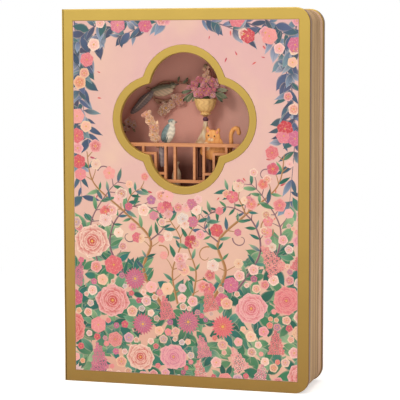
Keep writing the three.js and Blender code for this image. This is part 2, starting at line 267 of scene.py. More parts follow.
def new_material(name, roughness, specular):
    material = bpy.data.materials.new(name)
    material.use_nodes = True
    shader = material.node_tree.nodes["Principled BSDF"]
    shader.inputs["Roughness"].default_value = roughness
    shader.inputs["Specular IOR Level"].default_value = specular
    return material, material.node_tree, shader


def finish_material(tree, shader, color, height, strength, relief):
    """Sets colour and bump. The relief is the bump's height in millimetres."""
    tree.links.new(color, shader.inputs["Base Color"])
    bump = node(tree, "ShaderNodeBump", {"Height": height, "Strength": strength, "Distance": relief * MM})
    tree.links.new(bump.outputs[0], shader.inputs["Normal"])


def mottled(tree, color, amount, patch, grain):
    inputs = {"Color": color, "Amount": amount, "Patch": patch, "Grain": grain}
    group = node(tree, "ShaderNodeGroup", inputs, node_tree=MOTTLE)
    return group.outputs["Color"], group.outputs["Height"]


def height_share(tree):
    """0 at the notebook's foot and 1 at its top."""
    return math_node(tree, "DIVIDE", object_axis(tree, 2), HEIGHT * MM)


def gold_foil_material():
    """Foil with painted shade: darker towards the foot, and plain brown, not metallic, on the sides at the
    fore edge.
    """
    material, tree, shader = new_material("gold_foil", 0.42, 0.3)
    # Painted shade: the foil darkens from the top towards the foot, as under light from above.
    face = ramp(tree, height_share(tree), [
        (0.0, srgb(146, 114, 54)), (0.45, srgb(176, 143, 70)), (1.0, srgb(194, 164, 78))])
    # Painted shade: the sides at the fore edge turn plain brown, as foil in shade.
    side = product(tree, above(tree, facing(tree, 0), 0.45), above(tree, object_axis(tree, 0), 0.0))
    color, height = mottled(tree, mix_colors(tree, side, face, srgb(108, 70, 34)), 0.12, 60.0, 2600.0)
    metal = product(tree, math_node(tree, "SUBTRACT", 1.0, side), 0.35)
    tree.links.new(metal, shader.inputs["Metallic"])
    finish_material(tree, shader, color, height, 0.25, 0.02)
    return material


def printed_ground_material():
    """Pink paper that turns warmer towards the foot, with faint pale clouds."""
    material, tree, shader = new_material("printed_ground", 0.55, 0.35)
    ground = ramp(tree, height_share(tree), [
        (0.03, srgb(222, 170, 148)), (0.4, srgb(228, 184, 164)),
        (0.62, srgb(226, 182, 174)), (0.95, srgb(224, 178, 174))])
    cloud = noise(tree, object_place(tree), 22.0, 3.0, Distortion=0.6)
    share = ramp(tree, cloud, [(0.45, (0, 0, 0, 1)), (0.7, (0.6, 0.6, 0.6, 1))])
    washed = mix_colors(tree, share, ground, srgb(236, 200, 172))
    color, height = mottled(tree, washed, 0.06, 120.0, 3200.0)
    finish_material(tree, shader, color, height, 0.15, 0.02)
    return material


def layered_material(name, roughness, specular, lines, sheet, strength, relief, well=None):
    """Layers that show as lines at the cut edges, under a plain sheet on the flat faces.

    Edges cut around the scene's well take the well colour, if there is one.
    """
    material, tree, shader = new_material(name, roughness, specular)
    layers = node(tree, "ShaderNodeGroup", lines, node_tree=LAYER_LINES)
    cut = layers.outputs["Color"]
    if well:
        across = math_node(tree, "ABSOLUTE", object_axis(tree, 0))
        inside = product(tree, math_node(tree, "LESS_THAN", across, WELL_HALF_WIDTH * MM), product(
            tree, math_node(tree, "LESS_THAN", object_axis(tree, 2), WELL_TOP * MM),
            above(tree, object_axis(tree, 2), WELL_BASE * MM)))
        cut = mix_colors(tree, inside, cut, well)
    flat = above(tree, facing(tree, 1), 0.8)
    color = mix_colors(tree, flat, cut, mottled(tree, *sheet)[0])
    finish_material(tree, shader, color, layers.outputs["Height"], strength, relief)
    return material


def backdrop_material():
    """Pink card, paler to the right as painted light, and with a painted shadow behind the railing."""
    material, tree, shader = new_material("pink_card", 0.8, 0.2)
    # Painted light: the card turns from darker on the left to paler on the right, the left lying in shade.
    across = math_node(tree, "ADD", product(tree, object_axis(tree, 0), 8.0), 0.5)
    ground = ramp(tree, across, [
        (0.1, srgb(226, 158, 140)), (0.55, srgb(240, 178, 162)), (0.95, srgb(244, 196, 178))])
    shadow_top = WINDOW_Z + RAIL_TOP - 6
    shadow_fade = 9
    level = math_node(tree, "SUBTRACT", object_axis(tree, 2), shadow_top * MM)
    shadow = product(tree, level, -1.0 / (shadow_fade * MM), clamp=True)
    dimmed = mix_colors(tree, product(tree, shadow, 0.85), ground, srgb(104, 56, 42))
    color, height = mottled(tree, dimmed, 0.1, 90.0, 1800.0)
    finish_material(tree, shader, color, height, 0.2, 0.03)
    return material


def wood_material(name, light, dark, stretch):
    """Streaks along the grain on the front, and a darker plain tone on the sides."""
    material, tree, shader = new_material(name, 0.55, 0.4)
    grain = noise(tree, stretched(tree, stretch), 1600.0, 4.0, Distortion=0.4)
    front = above(tree, facing(tree, 1), 0.7)
    streak = mix_colors(tree, grain, dark, light)
    sawn = mix_colors(tree, front, shaded(dark, 0.25), streak)
    finish_material(tree, shader, sawn, grain, 0.3, 0.05)
    return material


def painted_material():
    """Takes its colour from the piece's own paint attribute."""
    material, tree, shader = new_material("painted_relief", 0.55, 0.4)
    paint = node(tree, "ShaderNodeAttribute", attribute_name="paint")
    color, height = mottled(tree, paint.outputs["Color"], 0.16, 260.0, 2600.0)
    finish_material(tree, shader, color, height, 0.35, 0.05)
    return material


def bloom_material(name, roughness, relief):
    """A petal or leaf that runs from an inner to an outer tint, with a paler rim and a fine rib."""
    material, tree, shader = new_material(name, roughness, 0.35)

    def carried(attribute, output="Fac"):
        return node(tree, "ShaderNodeAttribute", attribute_name=attribute).outputs[output]

    def band(first, second, gain):
        return product(tree, math_node(tree, "SUBTRACT", first, second, clamp=True), gain, clamp=True)

    inner, outer = carried("inner_tint", "Color"), carried("outer_tint", "Color")
    away = math_node(tree, "ABSOLUTE", carried("side"))
    body = mix_colors(tree, carried("shade"), inner, outer)
    rimmed = mix_colors(tree, band(away, 0.7, 1.2), body, srgb(244, 212, 186))
    ribbed = mix_colors(tree, band(0.16, away, 2.6), rimmed, inner)
    centred = mix_colors(tree, carried("heart"), ribbed, srgb(226, 172, 84))
    color, height = mottled(tree, centred, 0.12, 300.0, 3000.0)
    finish_material(tree, shader, color, height, 0.3, relief)
    return material


GOLD = gold_foil_material()
GROUND = printed_ground_material()
LAYERED = layered_material(
    "layered_board", 0.8, 0.2,
    {"Light": srgb(208, 174, 132), "Dark": srgb(116, 84, 54), "Fineness": 330.0},
    (srgb(204, 172, 136), 0.08, 90.0, 1800.0), 0.5, 0.06, well=srgb(166, 106, 84))
PAGES = layered_material(
    "page_paper", 0.85, 0.15,
    {"Light": srgb(224, 190, 160), "Dark": srgb(178, 140, 112), "Fineness": 1000.0},
    (srgb(238, 224, 198), 0.04, 60.0, 2400.0), 0.4, 0.04)
BACKDROP = backdrop_material()
RAIL_WOOD = wood_material("sawn_wood", srgb(226, 160, 112), srgb(186, 118, 74), (0.1, 1.0, 0.6))
STOOL_WOOD = wood_material("stained_wood", srgb(140, 80, 54), srgb(98, 54, 38), (1.0, 1.0, 0.12))
PAINTED = painted_material()
INK = bloom_material("printed_ink", 0.5, 0.01)
RELIEF_BLOOM = bloom_material("painted_petals", 0.6, 0.04)


# Mesh helpers

def to_world(x, y, z):
    return (x * MM, y * MM, z * MM)


def scene_point(x, y, z):
    """From millimetres about the window's middle to the notebook's own metres."""
    return to_world(x, y, z + WINDOW_Z)


def add_object(name, data):
    made = bpy.data.objects.new(name, data)
    bpy.context.scene.collection.objects.link(made)
    return made


def set_attribute(mesh, name, kind, values):
    """One value on each point: a number, or a turn or colour as a tuple of numbers."""
    field = {"FLOAT": "value", "FLOAT_VECTOR": "vector", "FLOAT_COLOR": "color"}[kind]
    flat = values if kind == "FLOAT" else [part for value in values for part in value]
    mesh.attributes.new(name, kind, "POINT").data.foreach_set(field, flat)


def smooth_faces(mesh):
    mesh.polygons.foreach_set("use_smooth", [True] * len(mesh.polygons))


def mesh_object(name, points, faces, material, colors=None, smooth=True):
    mesh = bpy.data.meshes.new(name)
    mesh.from_pydata(points, [], faces)
    if colors:
        set_attribute(mesh, "paint", "FLOAT_COLOR", colors)
    mesh.materials.append(material)
    if smooth:
        smooth_faces(mesh)
    return add_object(name, mesh)


def ring_faces(rings, sides):
    """Faces between neighbouring rings of points, each ring closed on itself."""
    faces = []
    for ring in range(rings - 1):
        one, two = ring * sides, (ring + 1) * sides
        for side in range(sides):
            after = (side + 1) % sides
            faces.append((one + side, one + after, two + after, two + side))
    return faces


def sheet_faces(rows, columns, start=0):
    """Faces of a sheet of points that has one more row and column of points than of faces."""
    faces = []
    for row in range(rows):
        for column in range(columns):
            corner = start + row * (columns + 1) + column
            faces.append((corner, corner + columns + 1, corner + columns + 2, corner + 1))
    return faces


def seal(piece, merge=1e-6):
    """Merges doubled points and turns the faces outwards."""
    work = bmesh.new()
    work.from_mesh(piece.data)
    if merge:
        bmesh.ops.remove_doubles(work, verts=work.verts, dist=merge)
    bmesh.ops.recalc_face_normals(work, faces=work.faces)
    work.to_mesh(piece.data)
    work.free()
    return piece


def evaluated_copy(source, name):
    """The finished mesh of an object with its modifiers, as a new plain object."""
    depsgraph = bpy.context.evaluated_depsgraph_get()
    return add_object(name, bpy.data.meshes.new_from_object(source.evaluated_get(depsgraph)))


def discard(*objects):
    for item in objects:
        bpy.data.objects.remove(item, do_unlink=True)


def joined(name, pieces):
    """One mesh object from several, which are used up."""
    work = bmesh.new()
    for piece in pieces:
        work.from_mesh(piece.data)
    mesh = bpy.data.meshes.new(name)
    work.to_mesh(mesh)
    work.free()
    for material in pieces[0].data.materials:
        mesh.materials.append(material)
    discard(*pieces)
    return add_object(name, mesh)


# Boards with rounded edges

def arc(x, z, radius, start, end, steps):
    return [tip_of(x, z, radius, start + (end - start) * step / steps) for step in range(steps + 1)]


def board_loop(left, inset=0.0, steps=10):
    right = RIGHT - inset
    radius = CORNER - inset
    low, high = inset, HEIGHT - inset
    lower = arc(right - radius, low + radius, radius, -math.pi / 2, 0, steps)
    upper = arc(right - radius, high - radius, radius, 0, math.pi / 2, steps)
    return [(left, low)] + lower + upper + [(left, high)]


def rectangle_loop(left, low, right, high):
    return [(left, low), (right, low), (right, high), (left, high)]


def quatrefoil_loop(radius, lobe_steps=28, fillet_steps=5):
    reach = radius + LOBE_FILLET
    notch = (LOBE_REACH + math.sqrt(2 * reach ** 2 - LOBE_REACH ** 2)) / 2
    spread = math.atan2(notch, notch - LOBE_REACH)
    loop = []
    for turn in around(4):
        lobe = tip_of(0, WINDOW_Z, LOBE_REACH, turn)
        loop += arc(*lobe, radius, turn - spread, turn + spread, lobe_steps)[:-1]
        corner = tip_of(0, WINDOW_Z, notch * math.sqrt(2), turn + math.pi / 4)
        inner_turns = turn + spread + math.pi, turn - spread + math.pi * 1.5
        loop += arc(*corner, LOBE_FILLET, *inner_turns, fillet_steps)[:-1]
    return loop


def grown(loop, distance):
    """A counter-clockwise loop moved outwards, or inwards for a negative distance."""
    result = []
    for index, (x, z) in enumerate(loop):
        before = loop[index - 1]
        after = loop[(index + 1) % len(loop)]
        first = Vector((x - before[0], z - before[1])).normalized()
        second = Vector((after[0] - x, after[1] - z)).normalized()
        normal_one = Vector((first.y, -first.x))
        normal_two = Vector((second.y, -second.x))
        mitre = normal_one + normal_two
        mitre *= distance / mitre.dot(normal_one)
        result.append((x + mitre.x, z + mitre.y))
    return result


class Shell:
    """A closed mesh made of rings of points and flat caps between them."""

    def __init__(self):
        self.points = []
        self.faces = []

    def ring(self, loop, y):
        start = len(self.points)
        self.points += [to_world(x, y, z) for x, z in loop]
        return list(range(start, len(self.points)))

    def wall(self, one, two):
        for index in range(len(one)):
            after = (index + 1) % len(one)
            self.faces.append((one[index], one[after], two[after], two[index]))

    def rounded(self, loop, front, back, front_round, back_round, outward=1, steps=4):
        """A wall through a board, rounded at both ends. Returns its front and back rings."""
        rings = []
        for step in range(steps + 1):
            angle = math.pi / 2 * step / steps
            edge = grown(loop, -outward * front_round * (1 - math.sin(angle)))
            rings.append(self.ring(edge, front + front_round * (1 - math.cos(angle))))
        for step in range(steps + 1):
            angle = math.pi / 2 * (1 - step / steps)
            edge = grown(loop, -outward * back_round * (1 - math.sin(angle)))
            rings.append(self.ring(edge, back - back_round * (1 - math.cos(angle))))
        for one, two in zip(rings, rings[1:]):
            self.wall(one, two)
        return rings[0], rings[-1]

    def cap(self, *rings):
        """A flat face inside the first ring and outside the others."""
        flat = [[Vector((self.points[i][0], self.points[i][2], 0)) for i in ring] for ring in rings]
        order = [i for ring in rings for i in ring]
        for triangle in tessellate_polygon(flat):
            self.faces.append(tuple(order[i] for i in triangle))

    def build(self, name, material):
        return seal(mesh_object(name, self.points, self.faces, material, smooth=False), merge=1e-7)


def cover_front_board():
    """The gold cover: a border and a ring stand up around the recess for the printed sheet."""
    shell = Shell()
    panel = rectangle_loop(-RIGHT + BORDER, BORDER, RIGHT - BORDER, HEIGHT - BORDER)
    front, back = FRONT, FRONT + BOARD
    outer_front, outer_back = shell.rounded(board_loop(COVER_LEFT), front, back, 0.5, 0.4)
    window_front, window_back = shell.rounded(quatrefoil_loop(LOBE), front, back, 0.45, 0.2, outward=-1)
    panel_front, panel_floor = shell.rounded(panel, front, front + RECESS, 0.18, 0.0, outward=-1, steps=3)
    ring_front, ring_floor = shell.rounded(
        quatrefoil_loop(LOBE + RING), front, front + RECESS, 0.18, 0.0, steps=3)
    shell.cap(outer_front, panel_front)
    shell.cap(ring_front, window_front)
    shell.cap(panel_floor, ring_floor)
    shell.cap(outer_back, window_back)
    return shell.build("gold_front_board", GOLD)


def cover_back_board():
    low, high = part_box("back_cover")
    shell = Shell()
    front, back = shell.rounded(board_loop(COVER_LEFT), low.y / MM, high.y / MM, 0.4, 0.5)
    shell.cap(front)
    shell.cap(back)
    return shell.build("gold_back_board", GOLD)


def end_tree(tree, placed, material, result):
    """The last nodes of a geometry tree: real meshes in place of instances, and their material."""
    real = node(tree, "GeometryNodeRealizeInstances", {0: placed.outputs[0]})
    finish = node(tree, "GeometryNodeSetMaterial", {"Geometry": real.outputs[0], "Material": material})
    tree.links.new(finish.outputs[0], result[0])


def grown_from(source, tree, inputs, name):
    """What a geometry tree makes of an object, as a plain mesh. The object is used up."""
    modifier = source.modifiers.new(name, "NODES")
    modifier.node_group = tree
    for item in tree.interface.items_tree:
        if item.in_out == "INPUT" and item.name in inputs:
            modifier[item.identifier] = inputs[item.name]
    made = evaluated_copy(source, name)
    discard(source)
    return made


def page_leaves():
    """The stack of leaves, each a thin board, repeated through the block's thickness."""
    low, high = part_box("page_block")
    leaves = 46
    pitch = (high.y - low.y) / MM / leaves
    thickness, rounding = pitch * 0.72, pitch * 0.2
    shell = Shell()
    front, back = shell.rounded(
        board_loop(low.x / MM, inset=0.6), low.y / MM, low.y / MM + thickness, rounding, rounding, steps=1)
    shell.cap(front)
    shell.cap(back)
    leaf = shell.build("single_leaf", PAGES)
    tree, given, result = new_group(
        "stack_of_leaves", "GeometryNodeTree",
        {"Geometry": "Geometry", "Leaves": "Int", "Pitch": "Float", "Paper": "Material"},
        {"Geometry": "Geometry"})
    step = node(tree, "ShaderNodeCombineXYZ", {1: given["Pitch"]})
    row = node(tree, "GeometryNodeMeshLine", {"Count": given["Leaves"], "Offset": step.outputs[0]})
    placed = node(tree, "GeometryNodeInstanceOnPoints", {
        "Points": row.outputs[0], "Instance": given["Geometry"]})
    end_tree(tree, placed, given["Paper"], result)
    return grown_from(leaf, tree, {"Leaves": leaves, "Pitch": pitch * MM, "Paper": PAGES}, "page_leaves")


# Petals and leaves, flat for the print and domed for the carving

PRINT_RELIEF = 0.03


def petal_shape(share, fullness, bluntness):
    return math.sin(math.pi * min(share, 0.999) ** fullness) ** bluntness


def petal_patch(length, breadth, start, turn, lift, fullness=1.5, bluntness=0.6, rows=5, columns=4):
    """Points, faces and shading of one flat petal that points away from the flower's middle."""
    points, marks = [], []
    for row in range(rows + 1):
        share = math.sin(math.pi / 2 * row / rows)
        half = breadth / 2 * max(petal_shape(share, fullness, bluntness), 0.02)
        for column in range(columns + 1):
            side = 2 * column / columns - 1
            reach = start + length * share - length * 0.08 * side * side * share
            x, z = turned(reach, half * side, turn)
            points.append((x, lift + 0.002 * side, z))
            marks.append((share, side, 0.0))
    return points, sheet_faces(rows, columns), marks


def disc_patch(radius, x, z, lift, sides=10):
    points = [(x, lift, z)]
    for turn in around(sides):
        rim_x, rim_z = tip_of(x, z, radius, turn)
        points.append((rim_x, lift, rim_z))
    faces = [(0, 1 + side, 1 + (side + 1) % sides) for side in range(sides)]
    return points, faces, [(0.5, 0.5, 1.0)] * len(points)


def marked_object(name, patches, material):
    """A mesh whose points carry shade, side and heart, for the bloom materials."""
    points, faces, marks = [], [], []
    for patch_points, patch_faces, patch_marks in patches:
        start = len(points)
        points += patch_points
        faces += [tuple(start + i for i in face) for face in patch_faces]
        marks += patch_marks
    made = mesh_object(name, points, faces, material)
    for index, attribute in enumerate(("shade", "side", "heart")):
        set_attribute(made.data, attribute, "FLOAT", [mark[index] for mark in marks])
    return made


def flat_flower(name, rings, heart_radius, dots=0, fullness=1.5, bluntness=0.6, ruffle=0.0, deep=0.0):
    """A flower of unit radius from rings of (radius, petals, breadth), the inner ones in front."""
    patches = []
    for level, (radius, petals, breadth) in enumerate(rings):
        for petal in range(petals):
            turn = 2 * math.pi * (petal + 0.5 * (level % 2)) / petals + 0.13 * level
            lift = -0.012 * level - 0.0012 * (petal % 3)
            reach = radius * (0.86 - ruffle * ((petal * 5 + level * 3) % 4))
            points, faces, marks = petal_patch(
                reach, breadth, radius * 0.14, turn, lift, fullness, bluntness, 6, 4)
            marks = [(max(0.0, (shade - deep) / (1 - deep)), side, 0.0) for shade, side, _ in marks]
            patches.append((points, faces, marks))
    top = -0.012 * len(rings)
    patches.append(disc_patch(heart_radius, 0, 0, top))
    for turn in around(dots):
        dot = tip_of(0, 0, heart_radius * 1.9, turn)
        patches.append(disc_patch(heart_radius * 0.32, *dot, top, sides=6))
    return marked_object(name, patches, INK)


def lilac_head():
    """A tapering head of small four-petalled florets, of unit length."""
    patches = []
    rows = 9
    for row in range(rows):
        share = row / (rows - 1)
        across = 1 + round(5 * (1 - share) ** 0.8)
        for index in range(across):
            side = (2 * index / (across - 1) - 1) if across > 1 else 0.0
            middle_x = 0.06 + 0.92 * share
            middle_z = side * 0.3 * (1 - share) ** 0.7 + 0.02 * (-1) ** row
            lift = -0.0008 * (row * 7 + index)
            for petal in range(4):
                turn = math.pi / 2 * petal + 0.4 * ((row + index) % 3)
                points, faces, marks = petal_patch(0.085, 0.08, 0.0, turn, lift, 1.5, 0.6, 2, 2)
                points = [(x + middle_x, y, z + middle_z) for x, y, z in points]
                tone = 0.35 + 0.65 * ((row * 5 + index * 3) % 4) / 3
                marks = [(tone * shade, side_share * 0.9, 0.0) for shade, side_share, _ in marks]
                patches.append((points, faces, marks))
            patches.append(disc_patch(0.014, middle_x, middle_z, lift - 0.0015, sides=5))
    return marked_object("lilac", patches, INK)


def pressed_flat(prototype):
    """A motif with its layers pressed together, so that a whole flower is as thin as ink."""
    for vertex in prototype.data.vertices:
        vertex.co.y *= PRINT_RELIEF
    return prototype


def flat_leaf(name, breadth):
    patch = petal_patch(1.0, breadth, 0.0, 0.0, 0.0, fullness=0.85, bluntness=0.9, rows=8, columns=6)
    return marked_object(name, [patch], INK)


def domed_petal(length, breadth, thickness, turn, lift, cup=0.25):
    """A closed, cupped petal: a front sheet and a back sheet that meet at the rim."""
    rows, columns = 5, 4
    points, marks, faces = [], [], []
    for layer in (0, 1):
        for row in range(rows + 1):
            share = row / rows
            half = breadth / 2 * max(petal_shape(share, 1.4, 0.6), 0.05)
            for column in range(columns + 1):
                side = 2 * column / columns - 1
                reach = length * share
                depth = lift - cup * length * share ** 2 - 0.1 * length * side * side
                body = thickness * (1 - side * side) * math.sin(math.pi * share)
                depth += body if layer else 0.0
                x, z = turned(reach, half * side, turn)
                points.append((x, depth, z))
                marks.append((share, side, 0.0))
    stride = (rows + 1) * (columns + 1)
    for quad in sheet_faces(rows, columns):
        faces.append(quad)
        faces.append(tuple(stride + i for i in reversed(quad)))
    return points, faces, marks


def dome_patch(radius, lift, sides=10, rings=4):
    points = []
    for ring in range(rings + 1):
        angle = math.pi / 2 * ring / rings
        reach = radius * math.cos(angle)
        y = lift - radius * 0.8 * math.sin(angle)
        points += [(reach * math.cos(turn), y, reach * math.sin(turn)) for turn in around(sides)]
    base = tuple(reversed(range(sides)))
    return points, ring_faces(rings + 1, sides) + [base], [(0.5, 0.5, 1.0)] * len(points)


def carved_blossom():
    outer = [domed_petal(1.0, 1.0, 0.16, 2 * math.pi * petal / 5, 0.06 * (petal % 2))
             for petal in range(5)]
    inner = [domed_petal(0.6, 0.6, 0.14, 2 * math.pi * (petal + 0.5) / 5, -0.14)
             for petal in range(5)]
    patches = outer + inner + [dome_patch(0.2, -0.22)]
    return seal(marked_object("carved_blossom", patches, RELIEF_BLOOM))


def carved_leaf():
    petal = domed_petal(1.0, 0.34, 0.08, 0.0, 0.0, cup=0.12)
    return seal(marked_object("carved_leaf", [petal], RELIEF_BLOOM))


def planting_tree():
    """Geometry nodes that set one plant on every point, at the point's own size and turn."""
    tree, given, result = new_group(
        "plant_on_points", "GeometryNodeTree",
        {"Points": "Geometry", "Plant": "Object", "Finish": "Material"}, {"Geometry": "Geometry"})
    plant = node(tree, "GeometryNodeObjectInfo", {"Object": given["Plant"]})
    size = node(tree, "GeometryNodeInputNamedAttribute", {"Name": "size"}, data_type="FLOAT")
    turn = node(tree, "GeometryNodeInputNamedAttribute", {"Name": "turn"}, data_type="FLOAT_VECTOR")
    placed = node(tree, "GeometryNodeInstanceOnPoints", {
        "Points": given["Points"], "Instance": plant.outputs["Geometry"],
        "Rotation": turn.outputs[0], "Scale": size.outputs[0]})
    end_tree(tree, placed, given["Finish"], result)
    return tree


PLANTING = planting_tree()


def plant(name, prototype, spots, material):
    """spots is a list of (place, size, turn, inner tint, outer tint), lengths in metres."""
    places, sizes, turns, inner_tints, outer_tints = zip(*spots)
    mesh = bpy.data.meshes.new(name + "_spots")
    mesh.from_pydata(places, [], [])
    set_attribute(mesh, "size", "FLOAT", sizes)
    set_attribute(mesh, "turn", "FLOAT_VECTOR", turns)
    set_attribute(mesh, "inner_tint", "FLOAT_COLOR", inner_tints)
    set_attribute(mesh, "outer_tint", "FLOAT_COLOR", outer_tints)
    bed = add_object(name + "_bed", mesh)
    return grown_from(bed, PLANTING, {"Plant": prototype, "Finish": material}, name)


# The print on the front cover: climbing scrolls and hanging garlands over a bank of flowers

PINKS = tints((222, 116, 128), (232, 138, 142), (210, 92, 108), (238, 160, 152), (206, 110, 140))
PALES = tints((250, 214, 200), (246, 196, 190), (252, 228, 206), (244, 184, 180))
REDS = tints((196, 54, 58), (214, 84, 62), (178, 48, 66))
VIOLETS = tints((128, 88, 134), (160, 116, 158), (112, 84, 128))
CREAMS = tints((248, 226, 188), (250, 236, 210), (244, 210, 168))
GREENS = tints((36, 98, 80), (58, 120, 84), (44, 110, 102), (86, 132, 92), (30, 84, 70))
LIGHT_GREENS = tints((132, 172, 124), (158, 186, 140), (112, 160, 130))
SLATES = tints((76, 90, 120), (58, 78, 100), (88, 100, 132), (58, 96, 98), (72, 72, 92))
LIGHT_SLATES = tints((150, 166, 186), (128, 156, 158), (176, 180, 194))

# Painting order on the sheet: each level lies one ink step in front of the last
INK_STEP = 0.0005
STEM_GAP = 0.003
MOTIF_GAP = 0.004
BED_LEAF_LEVEL = 8
PETAL_LEVEL = 22
RUN_LEVEL = 24
CURL_LEVEL = 25
RUN_LEAF_LEVEL = 30
COLLAR_LEVEL = 34
BRANCH_LEVEL = 56
TWIG_LEVEL = 57
BRANCH_LEAF_LEVEL = 62
RUN_FLOWER_LEVEL = 64
BRANCH_FLOWER_LEVEL = 67
BANK_FLOWER_LEVEL = 70


def any_turn(dice):
    return dice.uniform(0, 6.28)


class Print:
    """Everything printed on the sheet, in painting order from the sheet outwards."""

    def __init__(self, seed):
        self.dice = random.Random(seed)
        self.spots = {}
        self.stem_points = []
        self.stem_faces = []
        self.stem_colors = []

    def add(self, kind, x, z, size, spin, inner, outer, level):
        place = to_world(x, SHEET_FRONT - MOTIF_GAP - level * INK_STEP, z)
        self.spots.setdefault(kind, []).append((place, size * MM, (0.0, -spin, 0.0), inner, outer))

    def stem(self, path, width, color, level, taper=0.25):
        """A drawn line that thins out towards its end."""
        y = SHEET_FRONT - STEM_GAP - level * INK_STEP
        light = blend_colors(color, srgb(250, 220, 180), 0.35)
        start = len(self.stem_points)
        for index, x, z, along in directions(path):
            half = width / 2 * (1 - (1 - taper) * index / (len(path) - 1))
            for side in (-1, 0, 1):
                self.stem_points.append(to_world(x - along.y * half * side, y, z + along.x * half * side))
                self.stem_colors.append(light if side == 1 else color)
        self.stem_faces += sheet_faces(len(path) - 1, 2, start)


def curve_path(points, steps=10):
    """A smooth line through points, as a list of places."""
    def between(a, b, c, d, t):
        return 0.5 * (2 * b + (c - a) * t + (2 * a - 5 * b + 4 * c - d) * t * t
                      + (3 * b - a - 3 * c + d) * t ** 3)

    path = []
    last = len(points) - 1
    for index in range(last):
        four = [points[min(max(index + offset, 0), last)] for offset in (-1, 0, 1, 2)]
        for step in range(steps):
            path.append(tuple(between(*values, step / steps) for values in zip(*four)))
    return path + [tuple(points[-1])]


def curl_path(x, z, radius, start, sweep, steps=26):
    """A line that winds inwards, as on a scroll."""
    path = []
    for step in range(steps + 1):
        reach = radius * (1 - 0.75 * step / steps)
        turn = start + sweep * step / steps
        path.append(tip_of(x, z, reach, turn))
    return path


def directions(path):
    """Each place along a line with its number and the line's direction there."""
    for index, (x, z) in enumerate(path):
        before = path[max(index - 1, 0)]
        after = path[min(index + 1, len(path) - 1)]
        yield index, x, z, Vector((after[0] - before[0], after[1] - before[1])).normalized()


def near_window(x, z, margin):
    """Whether a place on the sheet is under the ring or closer to it than the margin."""
    radius = LOBE + RING + margin
    return any(math.hypot(x - LOBE_REACH * a, z - WINDOW_Z - LOBE_REACH * b) < radius
               for a, b in ((1, 0), (-1, 0), (0, 1), (0, -1)))


def in_panel(x, z, margin):
    edge = BORDER + margin
    return abs(x) < RIGHT - edge and edge < z < HEIGHT - edge


def bank_top(x):
    """The height of the flower bank, lowest in the middle."""
    return 54 + 44 * (abs(x) / 62) ** 1.7


# Kind, largest and smallest radius, how many, inner and outer tints
BANK_FLOWERS = [
    ("peony", 11.5, 8.5, 8, REDS[:1] + PINKS[2:3] + PINKS[4:], PALES + PINKS[3:4]),
    ("lilac", 17.0, 12.0, 12, PINKS, PINKS + PALES[:1]),
    ("aster", 8.6, 6.4, 9, REDS + VIOLETS, PINKS + PALES[:1]),
    ("camellia", 6.4, 4.6, 20, REDS + PINKS, PINKS + CREAMS[2:]),
    ("plum_blossom", 3.8, 2.6, 46, PINKS + REDS + VIOLETS[1:2], CREAMS + PALES),
    ("plum_blossom", 2.4, 1.5, 84, REDS + VIOLETS + PINKS, PINKS + CREAMS),
]


def add_leaf(art, x, z, length, turn, inner, outer, level, kind="broad_leaf"):
    """A leaf, unless it would reach over the ring around the window."""
    tip_x, tip_z = tip_of(x, z, length, turn)
    if near_window(tip_x, tip_z, 0.8) or near_window(x, z, 0.8):
        return
    art.add(kind, x, z, length, turn, inner, outer, level)


def flower_bank(art):
    """Peonies, lilac, asters and small blossoms over a bed of leaves."""
    dice = art.dice
    for _ in range(420):
        x, z = dice.uniform(-67, 67), dice.uniform(5, 100)
        if z > bank_top(x) + 2:
            continue
        pale = dice.random() < 0.3
        inner = dice.choice(LIGHT_GREENS if pale else GREENS)
        outer = dice.choice(GREENS if pale else GREENS + LIGHT_GREENS[:1])
        add_leaf(art, x, z, dice.uniform(7, 15), any_turn(dice), inner, outer,
                 BED_LEAF_LEVEL + dice.random() * 20)
    taken = []
    for order, (kind, large, small, wanted, inner_tints, outer_tints) in enumerate(BANK_FLOWERS):
        spacing = 1.06 if order < 4 else 0.9
        level = BANK_FLOWER_LEVEL + 24 * (order % 2) + order
        placed = 0
        for _ in range(wanted * 60):
            if placed == wanted:
                break
            radius = dice.uniform(small, large)
            room = radius * (0.55 if kind == "lilac" else 1.0)
            x, z = dice.uniform(-69, 69), dice.uniform(4, 100)
            if z + room * 0.6 > bank_top(x):
                continue
            if any(math.hypot(x - a, z - b) < spacing * (room + c) for a, b, c in taken):
                continue
            taken.append((x, z, room))
            placed += 1
            turn = dice.uniform(0.9, 2.2) if kind == "lilac" else any_turn(dice)
            if kind == "lilac":
                x, z = tip_of(x, z, -radius * 0.5, turn)
            art.add(kind, x, z, radius, turn, dice.choice(inner_tints), dice.choice(outer_tints), level)
    for x, z, room in taken:
        if room < 4.4:
            continue
        for _ in range(5):
            turn = any_turn(dice)
            inner = dice.choice(GREENS)
            outer = dice.choice(GREENS + LIGHT_GREENS)
            add_leaf(art, *tip_of(x, z, room * 0.6, turn), room * 0.9 + 3, turn, inner, outer,
                     COLLAR_LEVEL + dice.random() * 20)


def mirrored_curve(side, points, steps=12):
    return curve_path([(side * x, z) for x, z in points], steps)


